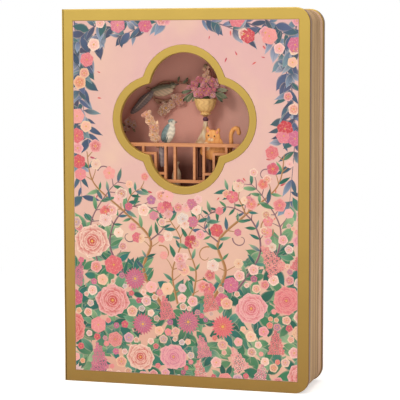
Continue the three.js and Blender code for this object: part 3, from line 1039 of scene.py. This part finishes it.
def climbing_scroll(art, side):
    """A gilt branch that climbs one side of the cover, with curls, leaves and blossoms."""
    dice = art.dice
    gilt = srgb(166, 112, 62)
    plum = srgb(122, 82, 98)
    branches = [
        ([(12, 44), (24, 66), (20, 84), (36, 100), (54, 116), (58, 134)], 12, 2.2, gilt),
        ([(30, 56), (44, 78), (40, 96), (26, 104), (12, 98)], 12, 1.5, plum),
        ([(4, 48), (7, 66), (2, 84), (9, 98), (3, 106)], 12, 1.2, gilt),
        ([(20, 84), (12, 92), (17, 103)], 10, 1.0, plum),
        ([(52, 70), (56, 92), (46, 110), (38, 118)], 12, 1.2, plum),
        ([(36, 100), (31, 110), (24, 114)], 10, 0.9, gilt),
    ]
    curls = [(50, 92, 6.2, 2.0), (13, 76, 5.4, 1.2), (47, 122, 4.6, 0.2), (33, 86, 4.6, 3.0)]
    for x, z, radius, start in curls:
        turn = start if side > 0 else math.pi - start
        curl = curl_path(side * x, z, radius, turn, side * 4.6)
        art.stem(curl, 0.8, gilt if radius > 5 else plum, CURL_LEVEL, taper=0.4)
    for order, (points, steps, width, color) in enumerate(branches):
        path = mirrored_curve(side, points, steps)
        art.stem(path, width, color, BRANCH_LEVEL + order)
        for (x, z), after in list(zip(path, path[1:]))[5::4]:
            along = math.atan2(after[1] - z, after[0] - x)
            for way in (-1, 1):
                turn = along + way * dice.uniform(0.6, 1.2)
                length = dice.uniform(5, 9.5)
                tip_x, tip_z = tip_of(x, z, length, turn)
                if near_window(tip_x, tip_z, 2.5) or not in_panel(tip_x, tip_z, 2):
                    continue
                if dice.random() < 0.6:
                    add_leaf(art, x, z, length, turn, dice.choice(GREENS + SLATES[:1]),
                             dice.choice(LIGHT_GREENS + GREENS), BRANCH_LEAF_LEVEL, "slim_leaf")
                    continue
                bend = ((x + tip_x) / 2 + 0.6, (z + tip_z) / 2)
                art.stem([(x, z), bend, (tip_x, tip_z)], 0.7, color, TWIG_LEVEL)
                kind = "camellia" if dice.random() < 0.4 else "plum_blossom"
                art.add(kind, tip_x, tip_z, dice.uniform(2.2, 4.2), any_turn(dice),
                        dice.choice(REDS + PINKS + VIOLETS[1:2]), dice.choice(CREAMS + PALES + PINKS),
                        BRANCH_FLOWER_LEVEL)


def hanging_garland(art, side):
    """Slate leaves with pale and red blossoms, hung from an upper corner."""
    dice = art.dice
    bark = srgb(96, 80, 104)
    runs = [
        ([(30, 209), (46, 202), (57, 188), (60, 164), (57, 140)], 12),
        ([(65, 209), (62, 176), (64, 146), (61, 106)], 12),
        ([(10, 209), (24, 205), (38, 199)], 10),
        ([(46, 209), (60, 200), (66, 190)], 10),
    ]
    for order, (points, steps) in enumerate(runs):
        path = mirrored_curve(side, points, steps)
        art.stem(path, 1.0, bark, RUN_LEVEL + order)
        for before, (x, z) in list(zip(path, path[1:]))[::2]:
            along = math.atan2(z - before[1], x - before[0])
            for way in (-1, 1):
                if dice.random() < 0.08:
                    continue
                turn = along + way * dice.uniform(0.3, 1.3)
                add_leaf(art, x, z, dice.uniform(6.5, 12), turn, dice.choice(SLATES),
                         dice.choice(SLATES + LIGHT_SLATES), RUN_LEAF_LEVEL + order * 4 + dice.random() * 3,
                         dice.choice(("broad_leaf", "slim_leaf")))
            if dice.random() < 0.27:
                size = dice.uniform(2.6, 5.0)
                if not near_window(x, z, size):
                    kind = "camellia" if size > 4.2 else "plum_blossom"
                    outer = REDS[:1] + PINKS if kind == "camellia" else CREAMS + PALES
                    art.add(kind, x, z, size, any_turn(dice), dice.choice(PINKS + REDS), dice.choice(outer),
                            RUN_FLOWER_LEVEL + order)


def drifting_petals(art):
    dice = art.dice
    for _ in range(60):
        x, z = dice.uniform(-60, 60), dice.uniform(96, 205)
        if near_window(x, z, 4) or not in_panel(x, z, 3):
            continue
        art.add("slim_leaf", x, z, dice.uniform(2.2, 4.2), any_turn(dice),
                dice.choice(REDS), dice.choice(PINKS), PETAL_LEVEL)


def trimmed_to_sheet(piece):
    """Cuts motifs off where they run over the edge of the printed sheet, and faces them to the front."""
    margin = 0.3
    reach = RIGHT - BORDER - margin
    low, high = BORDER + margin, HEIGHT - BORDER - margin
    work = bmesh.new()
    work.from_mesh(piece.data)
    for place, way in (((reach, 0, 0), (1, 0, 0)), ((-reach, 0, 0), (-1, 0, 0)),
                       ((0, 0, low), (0, 0, -1)), ((0, 0, high), (0, 0, 1))):
        everything = work.verts[:] + work.edges[:] + work.faces[:]
        bmesh.ops.bisect_plane(
            work, geom=everything, plane_co=to_world(*place), plane_no=way, clear_outer=True)
    work.normal_update()
    for face in work.faces:
        if face.normal.y > 0:
            face.normal_flip()
    work.to_mesh(piece.data)
    work.free()
    return piece


def print_pieces():
    art = Print(17)
    flower_bank(art)
    for side in (-1, 1):
        climbing_scroll(art, side)
        hanging_garland(art, side)
    drifting_petals(art)
    peony_rings = [(1.0, 8, 0.8), (0.82, 7, 0.74), (0.66, 7, 0.6), (0.5, 6, 0.5), (0.36, 5, 0.4),
                   (0.22, 5, 0.22)]
    aster_rings = [(1.0, 20, 0.26), (0.78, 16, 0.24), (0.56, 12, 0.2), (0.36, 8, 0.16)]
    camellia_rings = [(1.0, 6, 0.98), (0.74, 6, 0.7), (0.5, 5, 0.5), (0.28, 4, 0.3)]
    plants = {
        "peony": flat_flower("peony", peony_rings, 0.07, 6, 1.9, 0.55, ruffle=0.045, deep=0.55),
        "aster": flat_flower("aster", aster_rings, 0.13, 8, 1.1, 0.8),
        "camellia": flat_flower("camellia", camellia_rings, 0.1),
        "plum_blossom": flat_flower("plum_blossom", [(1.0, 5, 1.0), (0.4, 5, 0.3)], 0.13, 5),
        "lilac": lilac_head(),
        "broad_leaf": flat_leaf("broad_leaf", 0.5),
        "slim_leaf": flat_leaf("slim_leaf", 0.3),
    }
    made = [plant("print_" + kind, pressed_flat(plants[kind]), spots, INK)
            for kind, spots in art.spots.items()]
    discard(*plants.values())
    made.append(mesh_object("print_stems", art.stem_points, art.stem_faces, PAINTED, art.stem_colors))
    return [trimmed_to_sheet(piece) for piece in made]


# Carved figures: rounded masses run together and painted

def ball(center, radii, turn=0.0, segments=28, rings=16):
    """A stretched ball in scene millimetres, turned in the x-z plane."""
    points = []
    cos_turn, sin_turn = math.cos(turn), math.sin(turn)
    for ring in range(rings + 1):
        down = math.pi * ring / rings
        for round_angle in around(segments):
            x = radii[0] * math.sin(down) * math.cos(round_angle)
            y = radii[1] * math.sin(down) * math.sin(round_angle)
            z = radii[2] * math.cos(down)
            points.append(scene_point(
                center[0] + x * cos_turn - z * sin_turn, center[1] + y,
                center[2] + x * sin_turn + z * cos_turn))
    return points, ring_faces(rings + 1, segments)


def painted_ball(name, center, radii, turn, color, segments=14, rings=8):
    points, faces = ball(center, radii, turn, segments, rings)
    return seal(mesh_object(name, points, faces, PAINTED, [color] * len(points)))


def masses_color(masses, x, y, z):
    """The colour of the nearest mass, run a little into that of the next."""
    nearest = []
    for center, radii, turn, color in masses:
        dx, dz = x - center[0], z - WINDOW_Z - center[2]
        along = (dx * math.cos(turn) + dz * math.sin(turn)) / radii[0]
        across = (-dx * math.sin(turn) + dz * math.cos(turn)) / radii[2]
        away = abs(math.hypot(along, across, (y - center[1]) / radii[1]) - 1)
        nearest.append((away, color))
    nearest.sort(key=lambda item: item[0])
    if len(nearest) == 1:
        return nearest[0][1]
    (first_away, first), (second_away, second) = nearest[:2]
    share = first_away / (first_away + second_away + 1e-9)
    return blend_colors(first, second, min(share, 0.5) * 0.8)


def figure(name, masses, details=(), voxel=0.28, pattern=None):
    """Masses of (centre, radii, turn, colour) run together into one carved form, with small details."""
    lump = joined("lump", [seal(mesh_object("mass", *ball(center, radii, turn), PAINTED))
                           for center, radii, turn, _ in masses])
    remesh = lump.modifiers.new("run_together", "REMESH")
    remesh.mode = "VOXEL"
    remesh.voxel_size = voxel * MM
    soften = lump.modifiers.new("soften", "SMOOTH")
    soften.iterations = 3
    carved = evaluated_copy(lump, name)
    discard(lump)
    colors = []
    for vertex in carved.data.vertices:
        x, y, z = (value / MM for value in vertex.co)
        color = masses_color(masses, x, y, z)
        colors.append(pattern(x, z - WINDOW_Z, color) if pattern else color)
    set_attribute(carved.data, "paint", "FLOAT_COLOR", colors)
    smooth_faces(carved.data)
    if not carved.data.materials:
        carved.data.materials.append(PAINTED)
    if not details:
        return carved
    return joined(name, [carved] + [painted_ball("detail", *detail) for detail in details])


def place_from(start_x, depth, start_z=0.0):
    """A function for places in a figure: x and z from its start, and how far towards the front."""
    def at(x, z, forward=0.0):
        return (start_x + x, depth - forward, start_z + z)
    return at


def rail_bird():
    depth, half = depth_and_half("rail_bird")
    at = place_from(-12.2, depth, RAIL_TOP)
    teal, white, dark = srgb(112, 134, 134), srgb(232, 218, 196), srgb(66, 66, 70)

    def feathers(x, z, color):
        wave = math.sin((z * 2.6) + math.sin(x * 2.0))
        return shaded(color, 0.12 + 0.12 * wave)

    masses = [
        (at(1.2, 5.2), (3.1, half, 5.9), -0.32, white),
        (at(2.6, 11.4), (2.1, half * 0.85, 2.0), 0.0, white),
        (at(2.2, 12.2), (1.9, half * 0.85, 1.4), 0.2, teal),
        (at(-0.7, 5.6, 0.25), (2.5, half * 0.85, 5.6), -0.42, teal),
        (at(-1.6, -6.2), (1.5, half * 0.6, 8.2), -0.08, srgb(140, 124, 132)),
        (at(-3.9, -7.4), (1.3, half * 0.5, 7.0), 0.05, srgb(196, 180, 176)),
        (at(4.6, 11.6), (1.5, 0.45, 0.45), 0.1, dark),
    ]
    details = [(at(3.0, 11.9, half * 0.85), (0.34, 0.2, 0.34), 0.0, dark)]
    for index in range(3):
        place = at(-1.6 + index * 0.7, 3.2 - index * 0.9, half * 0.85)
        details.append((place, (0.32, 0.25, 3.2 - index * 0.4), -0.36, shaded(teal, 0.35)))
    return figure("carved_rail_bird", masses, details, pattern=feathers)


def branch_bird():
    depth, half = depth_and_half("branch_bird")
    at = place_from(0.0, depth)
    olive, cream, slate = srgb(126, 120, 98), srgb(222, 190, 158), srgb(138, 120, 116)
    dark = srgb(60, 52, 50)

    def feathers(x, z, color):
        wave = math.sin((x * 1.2 + z * 1.9) * 1.7)
        return shaded(color, 0.14 + 0.14 * wave)

    masses = [
        (at(-18.6, 15.0), (6.2, half, 2.5), 0.2, cream),
        (at(-13, 18.8), (2.1, half * 0.9, 1.9), 0.0, olive),
        (at(-12.6, 18.2, 0.2), (1.5, half * 0.75, 1.1), 0.0, cream),
        (at(-19.6, 17.4, 0.1), (6.6, half * 0.85, 1.9), 0.18, olive),
        (at(-31.4, 8.8), (9.8, half * 0.7, 2.4), 0.74, slate),
        (at(-28.8, 12.4), (7, half * 0.6, 1.8), 0.6, shaded(slate, 0.25)),
        (at(-10.6, 19.3), (1.7, 0.5, 0.5), 0.2, dark),
    ]
    details = [(at(-12.4, 19.4, half * 0.88), (0.36, 0.2, 0.36), 0.0, dark)]
    for index in range(4):
        wing = at(-22 + index * 1.9, 17.3 + index * 0.3, half * 0.8)
        tail = at(-33.5 + index * 1.5, 7.0 + index * 1.6, half * 0.62)
        details.append((wing, (2.5, 0.22, 0.3), 0.32, shaded(olive, 0.4)))
        details.append((tail, (3.2, 0.2, 0.28), 0.78, blend_colors(slate, cream, 0.5)))
    return figure("carved_branch_bird", masses, details, pattern=feathers)


def cat():
    depth, half = depth_and_half("cat")
    at = place_from(14.7, depth, RAIL_TOP)
    orange, cream, dark = srgb(238, 168, 94), srgb(250, 222, 178), srgb(84, 52, 36)
    pink = srgb(226, 140, 116)

    def stripes(x, z, color):
        wave = math.sin(x * 2.4 + math.sin(z * 0.9) * 1.2)
        return blend_colors(color, srgb(206, 112, 48), 0.45 * max(wave, 0) ** 2)

    masses = [
        (at(1.8, -4.6), (9.6, half, 5.2), 0.0, orange),
        (at(0.4, -0.2), (5.4, half * 0.95, 4.6), 0.0, orange),
        (at(-0.2, 3.8), (4.5, half, 3.9), -0.1, orange),
        (at(-2.9, 7.4), (1.1, half * 0.7, 2.1), 0.25, orange),
        (at(2.9, 6.6), (1.1, half * 0.7, 2.1), -0.35, orange),
        (at(-0.8, 2.2, 0.5), (2.2, half * 0.75, 1.6), 0.0, cream),
        (at(-3.0, -2.4, 0.3), (2.4, half * 0.8, 3.6), 0.2, cream),
    ]
    tail = curve_path([(9.6, -5), (10.6, -0.4), (10.5, 5), (12.2, 8.2), (14.4, 8.3), (15.1, 5.9)], 4)
    for x, z in tail:
        masses.append((at(x, z), (1.25, 1.2, 1.25), 0.0, orange))
    details = [
        (at(-2.2, 4.4, half * 0.95), (0.42, 0.22, 0.5), 0.0, dark),
        (at(1.2, 4.0, half * 0.95), (0.42, 0.22, 0.5), 0.0, dark),
        (at(-0.8, 3.0, half * 1.08), (0.42, 0.24, 0.3), 0.0, pink),
        (at(-2.8, 7.0, half * 0.62), (0.5, 0.2, 1.2), 0.25, pink),
        (at(2.7, 6.2, half * 0.62), (0.5, 0.2, 1.2), -0.35, pink),
    ]
    return figure("carved_cat", masses, details, pattern=stripes)


def stem_tube(points, depth, radius, color, sides=10):
    """A round twig along a smooth line, thinner and knotted towards its end."""
    path = curve_path(points, 6)
    verts = []
    for index, x, z, along in directions(path):
        size = radius * (1.15 - 0.5 * index / (len(path) - 1)) * (1 + 0.12 * math.sin(index * 1.9))
        for turn in around(sides):
            out = size * math.cos(turn)
            verts.append(scene_point(x - along.y * out, depth + size * math.sin(turn), z + along.x * out))
    ends = [tuple(range(sides)), tuple(reversed(range(len(verts) - sides, len(verts))))]
    faces = ring_faces(len(path), sides) + ends
    return seal(mesh_object("twig", verts, faces, PAINTED, [color] * len(verts)), merge=0)


def blossoms(name, spots, prototype):
    """spots in scene millimetres: ((x, y, z), size, spin, tilt, inner tint, outer tint)."""
    placed = [(scene_point(*place), size * MM, (tilt, -spin, 0.0), inner, outer)
              for place, size, spin, tilt, inner, outer in spots]
    return plant(name, prototype, placed, RELIEF_BLOOM)


def dress(pieces, node_name, body="front_lid"):
    """The pieces stand for a CAD node and ride with its body."""
    for piece in pieces:
        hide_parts(node_name)
        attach(piece, body)


def spray_spots(heads, depth, dice, inner, outer, extra, spread):
    """Blossoms of a spray: each head of ((x, z), size, spin) has smaller ones around it."""
    spots = []
    for (x, z), size, spin in heads:
        spots.append(((x, depth - 0.3, z), size, spin, dice.uniform(-0.2, 0.2),
                      dice.choice(inner), dice.choice(outer)))
        for _ in range(extra):
            turn = any_turn(dice)
            side_x, side_z = tip_of(x, z, size * spread, turn)
            spots.append(((side_x, depth - 0.5, side_z), size * 0.55, turn, dice.uniform(-0.3, 0.3),
                          dice.choice(inner), dice.choice(outer)))
    return spots


def rail_spray(prototype, dice):
    depth = middle("rail_blossoms", 1)
    root = -19.2
    heads = [((-4.9, 16), 2.3, 0.3), ((-3.4, 12.2), 2.5, 0.9), ((-1.2, 8.6), 2.6, 0.1),
             ((-1.4, 4.4), 2.4, 0.6), ((0.4, 1.9), 2.1, 1.1), ((0.8, 5.8), 1.7, 0.2)]
    heads = [((root + x, RAIL_TOP + z), size, spin) for (x, z), size, spin in heads]
    stem = [(root + x, RAIL_TOP + z) for x, z in [(1.4, -3.2), (1, 2.5), (-1.6, 9.2), (-5, 16)]]
    inner = tints((206, 128, 108), (222, 150, 122))
    outer = tints((244, 206, 168), (248, 220, 186), (236, 180, 156))
    spots = spray_spots(heads, depth, dice, inner, outer, extra=4, spread=0.95)
    bud = painted_ball(
        "bud", (root + 0.9, depth, RAIL_TOP + 10), (1.0, 0.75, 2.6), -0.15, srgb(240, 196, 156), rings=10)
    twig = joined("rail_spray_twig", [stem_tube(stem, depth, 0.62, srgb(196, 140, 108)), bud])
    return [blossoms("rail_spray_petals", spots, prototype), twig]


def flowering_branch(prototype, leaf, dice):
    depth = middle("blossom_branch", 1) + 0.3
    boughs = [
        [(-29.4, 17.2), (-25.8, 15.4), (-25.3, 11.6), (-22.4, 8.6), (-17.6, 5.7)],
        [(-24.6, 10.6), (-18.6, 9.8), (-12.4, 11.2), (-8, 10.2)],
        [(-25.9, 15.6), (-20, 20.2), (-12.2, 20.6), (-4.6, 19.8)],
    ]
    bark = srgb(176, 128, 102)
    twigs = joined("branch_twigs", [stem_tube(points, depth, 0.75, bark) for points in boughs])
    heads = [((-17.4, 5.8), 3.2, 0.3), ((-14, 7.6), 2.4, 0.8), ((-19.6, 3.4), 2.3, 0.5),
             ((-8.4, 10.4), 2.9, 0.2), ((-11.8, 12.2), 2.1, 0.9)]
    inner = tints((176, 100, 92), (196, 120, 106))
    outer = tints((246, 206, 178), (236, 178, 160), (250, 218, 190))
    spots = spray_spots(heads, depth - 0.7, dice, inner, outer, extra=4, spread=0.8)
    greens = tints((92, 92, 66), (110, 108, 80))
    leaves = [((x, depth - 0.3, z), size, spin, 0.1, dice.choice(greens), dice.choice(greens))
              for x, z, size, spin in [(-8.4, 19.8, 5, 0.5), (-5, 19.8, 5.4, -0.5), (-10.5, 20.2, 4, 1.3),
                                       (-6.5, 19.8, 4.4, 1.0), (-3.9, 19.6, 3.6, -1.2)]]
    return [twigs, blossoms("branch_petals", spots, prototype), blossoms("branch_leaves", leaves, leaf)]


def wall_sprig(prototype, leaf, dice):
    depth = middle("wall_sprig", 1) + 0.3
    twig = stem_tube([(-43.4, -8.6), (-40.4, -5.4), (-37.2, -3.6)], depth, 0.6, srgb(150, 96, 80))
    heads = [((-40.6, -2.4), 2.3, 0.4), ((-37, -4.4), 2.1, 0.9), ((-42, -6.4), 1.8, 0.1)]
    # Pale pink blossoms, their tints lifted as painted light, since the sprig stands in the shade of the
    # left wall.
    inner = tints((172, 104, 96), (188, 120, 108))
    outer = tints((250, 212, 196), (244, 200, 186))
    spots = spray_spots(heads, depth - 0.6, dice, inner, outer, extra=2, spread=0.9)
    green = srgb(150, 132, 102)
    leaves = [((x, depth - 0.2, z), size, spin, 0.0, green, shaded(green, -0.2))
              for x, z, size, spin in [(-41.8, -5.8, 4.4, 2.5), (-38.6, -5, 4.2, -1)]]
    twig.name = "sprig_twig"
    return [twig, blossoms("sprig_petals", spots, prototype), blossoms("sprig_leaves", leaves, leaf)]


def bouquet(prototype, leaf, dice):
    """Rows of blossoms over a green heart, a taller beige spray, and leaves that hang at both sides."""
    depth = middle("flower_urn", 1)
    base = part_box("flower_urn")[1].z / MM - WINDOW_Z + 0.3
    green = srgb(96, 106, 70)
    heart = [((TURNED_X, depth + 0.6, base + 5.4), (6.8, 3.7, 4.8), 0.0, green),
             ((TURNED_X, depth + 0.4, base + 0.6), (3.6, 3.2, 2.4), 0.0, shaded(green, 0.3)),
             ((TURNED_X + 1.4, depth - 0.6, base + 13.4), (2.5, 1.9, 4.6), 0.12, srgb(196, 130, 112)),
             ((TURNED_X + 0.6, depth - 0.6, base + 17.5), (1.5, 1.2, 2.3), 0.3, srgb(150, 132, 96))]
    core = figure("bouquet_heart", heart, voxel=0.35)
    inner = tints((150, 62, 84), (176, 84, 104), (160, 70, 90))
    outer = tints((250, 172, 180), (240, 152, 164), (252, 194, 192), (228, 134, 150))
    spots = []
    for rise, half, count in [(1.2, 7.4, 6), (3.6, 10.0, 9), (6.2, 9.4, 8), (8.8, 6.8, 6), (10.4, 3.8, 3)]:
        for index in range(count):
            share = (2 * index / (count - 1) - 1) + dice.uniform(-0.08, 0.08)
            x = half * share
            z = rise + 1.2 * (1 - share * share) + dice.uniform(-0.5, 0.5)
            forward = 4.0 - 0.026 * x * x - 0.035 * (z - 5) ** 2
            spots.append(((TURNED_X + x, depth - forward + 0.9, base + max(z, 2.0)), dice.uniform(1.5, 2.3),
                          any_turn(dice), dice.uniform(-0.5, 0.5), dice.choice(inner), dice.choice(outer)))
    beige = tints((206, 150, 122), (222, 170, 140))
    for index in range(7):
        place = (TURNED_X + 1.3 + 1.4 * math.sin(index * 2.2), depth - 2.4, base + 10.5 + index * 1.2)
        spots.append((place, 1.5 - index * 0.08, any_turn(dice), 0.2,
                      dice.choice(beige), srgb(228, 184, 156)))
    greens = tints((78, 86, 62), (96, 104, 76), (122, 124, 96))
    tips = greens + [srgb(150, 146, 116)]
    leaf_marks = [(-5.6, 3.6, 8.6, 3.8), (-5.8, 3.4, 7.4, 4.05), (-7.4, 4.6, 6.4, 3.4),
                  (5.4, 4.0, 9.4, -0.42), (6.2, 3.6, 7.6, -0.85), (6.8, 5.2, 7.4, -0.1),
                  (-2.5, 3.0, 4.5, 4.4), (3.4, 2.8, 3.8, -1.3), (-4.6, 3.2, 5.6, 4.3)]
    leaves = [((TURNED_X + x, depth - 2.0, base + z), size, spin, 0.0,
               dice.choice(greens), dice.choice(tips)) for x, z, size, spin in leaf_marks]
    return [core, blossoms("bouquet_petals", spots, prototype), blossoms("bouquet_leaves", leaves, leaf)]


def turned_piece(name, node_name, profile, color_at, segments=56, flutes=0, flute_depth=0.0):
    """A turned form about the upright axis of a CAD node. profile is (radius, height above its foot)."""
    x, y, foot = middle(node_name, 0), middle(node_name, 1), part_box(node_name)[0].z / MM
    path = curve_path(profile, 5)
    points, colors = [], []
    for radius, level in path:
        for turn in around(segments):
            wave = 1 - flute_depth * (0.5 - 0.5 * math.cos(flutes * turn)) if flutes else 1.0
            size = max(radius, 0.001) * wave
            points.append(to_world(*tip_of(x, y, size, turn), foot + level))
            colors.append(color_at(level, turn))
    return seal(mesh_object(name, points, ring_faces(len(path), segments), PAINTED, colors), merge=2e-6)


def urn():
    radius, tall = span("flower_urn", 0) / 2, span("flower_urn", 2)
    yellow, brown, plum = srgb(240, 196, 126), srgb(196, 142, 84), srgb(104, 62, 78)
    profile = [
        (0, 0), (1.3, 0), (1.7, 1), (1.2, 2), (1.5, 3), (3.0, 3.7), (3.0, 4.4), (2.6, 4.9), (4.4, 6.4),
        (5.8, 9.0), (radius - 0.35, tall - 1.6), (radius - 0.05, tall - 0.7), (radius - 0.25, tall - 0.02),
        (radius - 0.9, tall - 0.05), (radius - 1.9, tall - 1.8), (3, tall - 3.5), (0, tall - 4),
    ]

    def color_at(level, turn):
        if level < 3.2:
            return plum if level < 2.6 else brown
        wave = 0.5 + 0.5 * math.cos(12 * turn + 2.2 * math.sin(level * 1.6))
        return blend_colors(yellow, brown, 0.5 * wave ** 3)

    return turned_piece("turned_urn", "flower_urn", profile, color_at, flutes=12, flute_depth=0.05)


def pedestal():
    radius, tall = span("urn_pedestal", 0) / 2, span("urn_pedestal", 2)
    profile = [(0, 0), (radius - 0.1, 0)]
    profile += [(1.2 + (radius - 1.3) * (1 - step / 9) ** 1.7, tall * step / 9) for step in range(10)]
    profile.append((0, tall))
    ivory, tan = srgb(236, 214, 176), srgb(206, 164, 122)

    def color_at(level, turn):
        return blend_colors(ivory, tan, 0.5 + 0.5 * math.sin(level * 0.9 + math.cos(turn * 5)))

    return turned_piece("turned_pedestal", "urn_pedestal", profile, color_at)


def vase():
    radius, tall = span("floor_vase", 0) / 2, span("floor_vase", 2)
    profile = [(radius * across, tall * up) for across, up in [
        (0, 0), (0.62, 0), (0.7, 0.05), (0.99, 0.42), (0.9, 0.62), (0.45, 0.8), (0.42, 0.9),
        (0.62, 0.995), (0.42, 0.99), (0.26, 0.9), (0.3, 0.78), (0, 0.7)]]
    cream, rose = srgb(244, 220, 184), srgb(214, 160, 132)

    def color_at(level, turn):
        streak = max(0.0, math.sin(level * 1.1 + 2 * math.sin(turn * 3)))
        return blend_colors(cream, rose, streak * 0.6)

    return turned_piece("turned_vase", "floor_vase", profile, color_at)


def paint_cad_nodes():
    """The CAD nodes that stay in view keep their meshes and get these finishes."""
    finishes = {
        "cover_print": GROUND, "scene_frame_front": LAYERED, "scene_frame_middle": LAYERED,
        "scene_frame_rear": LAYERED, "scene_backdrop": BACKDROP, "lattice_railing": RAIL_WOOD,
        "urn_stool": STOOL_WOOD, "spine": GOLD,
    }
    for name, material in finishes.items():
        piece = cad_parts[name]
        if not piece.material_slots:
            piece.data.materials.append(material)
        for slot in piece.material_slots:
            slot.material = material


def build_notebook():
    dress([cover_front_board()], "front_cover")
    dress([cover_back_board()], "back_cover", "back_board")
    dress([page_leaves()], "page_block", "book_block")
    for piece in print_pieces():
        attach(piece, "front_lid")


def build_scene_figures():
    dice = random.Random(5)
    blossom, leaf = carved_blossom(), carved_leaf()
    dress([rail_bird()], "rail_bird")
    dress([branch_bird()], "branch_bird")
    dress([cat()], "cat")
    dress(rail_spray(blossom, dice), "rail_blossoms")
    dress(flowering_branch(blossom, leaf, dice), "blossom_branch")
    dress(wall_sprig(blossom, leaf, dice), "wall_sprig")
    dress(bouquet(blossom, leaf, dice), "urn_bouquet")
    dress([urn()], "flower_urn")
    dress([pedestal()], "urn_pedestal")
    dress([vase()], "floor_vase")
    discard(blossom, leaf)


# Camera, floor and light

WHITE = (1.0, 1.0, 1.0, 1.0)


def set_camera():
    """The photograph's own viewpoint. The angles are in degrees."""
    downward, lean, swing = 5.34, 0.1, 15.94
    camera = bpy.data.cameras.new("camera")
    camera.lens = 142.57
    camera.sensor_width = 36.0
    camera.clip_start = 0.01
    camera.clip_end = 50.0
    holder = add_object("camera", camera)
    holder.location = (0.2535, -0.8739, 0.1906)
    holder.rotation_euler = (math.radians(90 - downward), math.radians(lean), math.radians(swing))
    bpy.context.scene.camera = holder


def seen_directly(tree):
    """1 for what the camera, a reflection or a clear material sees."""
    path = node(tree, "ShaderNodeLightPath")
    glossy = math_node(tree, "MAXIMUM", path.outputs["Is Camera Ray"], path.outputs["Is Glossy Ray"])
    return math_node(tree, "MAXIMUM", glossy, path.outputs["Is Transmission Ray"])


def set_floor():
    """A pale floor that keeps the shadow near the notebook and fades to white away from it."""
    reach = 6.0
    corners = [(-reach, -reach, 0), (reach, -reach, 0), (reach, reach, 0), (-reach, reach, 0)]
    material, tree, shader = new_material("pale_floor", 0.9, 0.0)
    floor = mesh_object("floor", corners, [(0, 1, 2, 3)], material, smooth=False)
    shader.inputs["Base Color"].default_value = (0.9, 0.9, 0.9, 1.0)
    shader.inputs["Emission Color"].default_value = WHITE
    tree.links.new(product(tree, seen_directly(tree), 0.5), shader.inputs["Emission Strength"])
    away = node(tree, "ShaderNodeVectorMath", {0: object_place(tree)}, operation="LENGTH").outputs["Value"]
    fade = node(tree, "ShaderNodeMapRange", {"Value": away, "From Min": 0.12, "From Max": 0.5},
                interpolation_type="SMOOTHSTEP")
    white = node(tree, "ShaderNodeEmission", {"Color": WHITE, "Strength": 1.0})
    share = product(tree, fade.outputs[0], seen_directly(tree))
    mix = node(tree, "ShaderNodeMixShader", {0: share, 1: shader.outputs[0], 2: white.outputs[0]})
    tree.links.new(mix.outputs[0], tree.nodes["Material Output"].inputs["Surface"])


def set_world():
    """Soft warm light all round, and plain white where the surroundings are seen."""
    world = bpy.data.worlds.new("studio")
    bpy.context.scene.world = world
    world.use_nodes = True
    tree = world.node_tree
    tree.nodes.clear()
    ambient = node(tree, "ShaderNodeBackground", {"Color": (1.0, 0.96, 0.94, 1.0), "Strength": 0.42})
    white = node(tree, "ShaderNodeBackground", {"Color": WHITE, "Strength": 1.0})
    mix = node(tree, "ShaderNodeMixShader", {
        0: seen_directly(tree), 1: ambient.outputs[0], 2: white.outputs[0]})
    result = node(tree, "ShaderNodeOutputWorld")
    tree.links.new(mix.outputs[0], result.inputs["Surface"])


def area_light(name, place, target, size, power, color):
    light = bpy.data.lights.new(name, "AREA")
    light.size = size
    light.energy = power
    light.color = color
    holder = add_object(name, light)
    holder.location = place
    direction = Vector(target) - Vector(place)
    holder.rotation_euler = direction.to_track_quat("-Z", "Y").to_euler()


def set_lights():
    area_light("key", (-0.4, -1.0, 0.78), (0.0, 0.0, 0.18), 0.45, 5.35, (1.0, 0.965, 0.93))
    area_light("fill", (1.0, -0.6, 0.3), (0.0, 0.0, 0.12), 0.9, 3.4, (1.0, 0.95, 0.9))
    area_light("top", (0.1, -0.1, 1.1), (0.0, 0.0, 0.2), 0.6, 5.0, (1.0, 0.97, 0.93))


set_camera()
set_floor()
set_world()
set_lights()
paint_cad_nodes()
build_notebook()
build_scene_figures()
bpy.context.scene.view_settings.view_transform = "Standard"
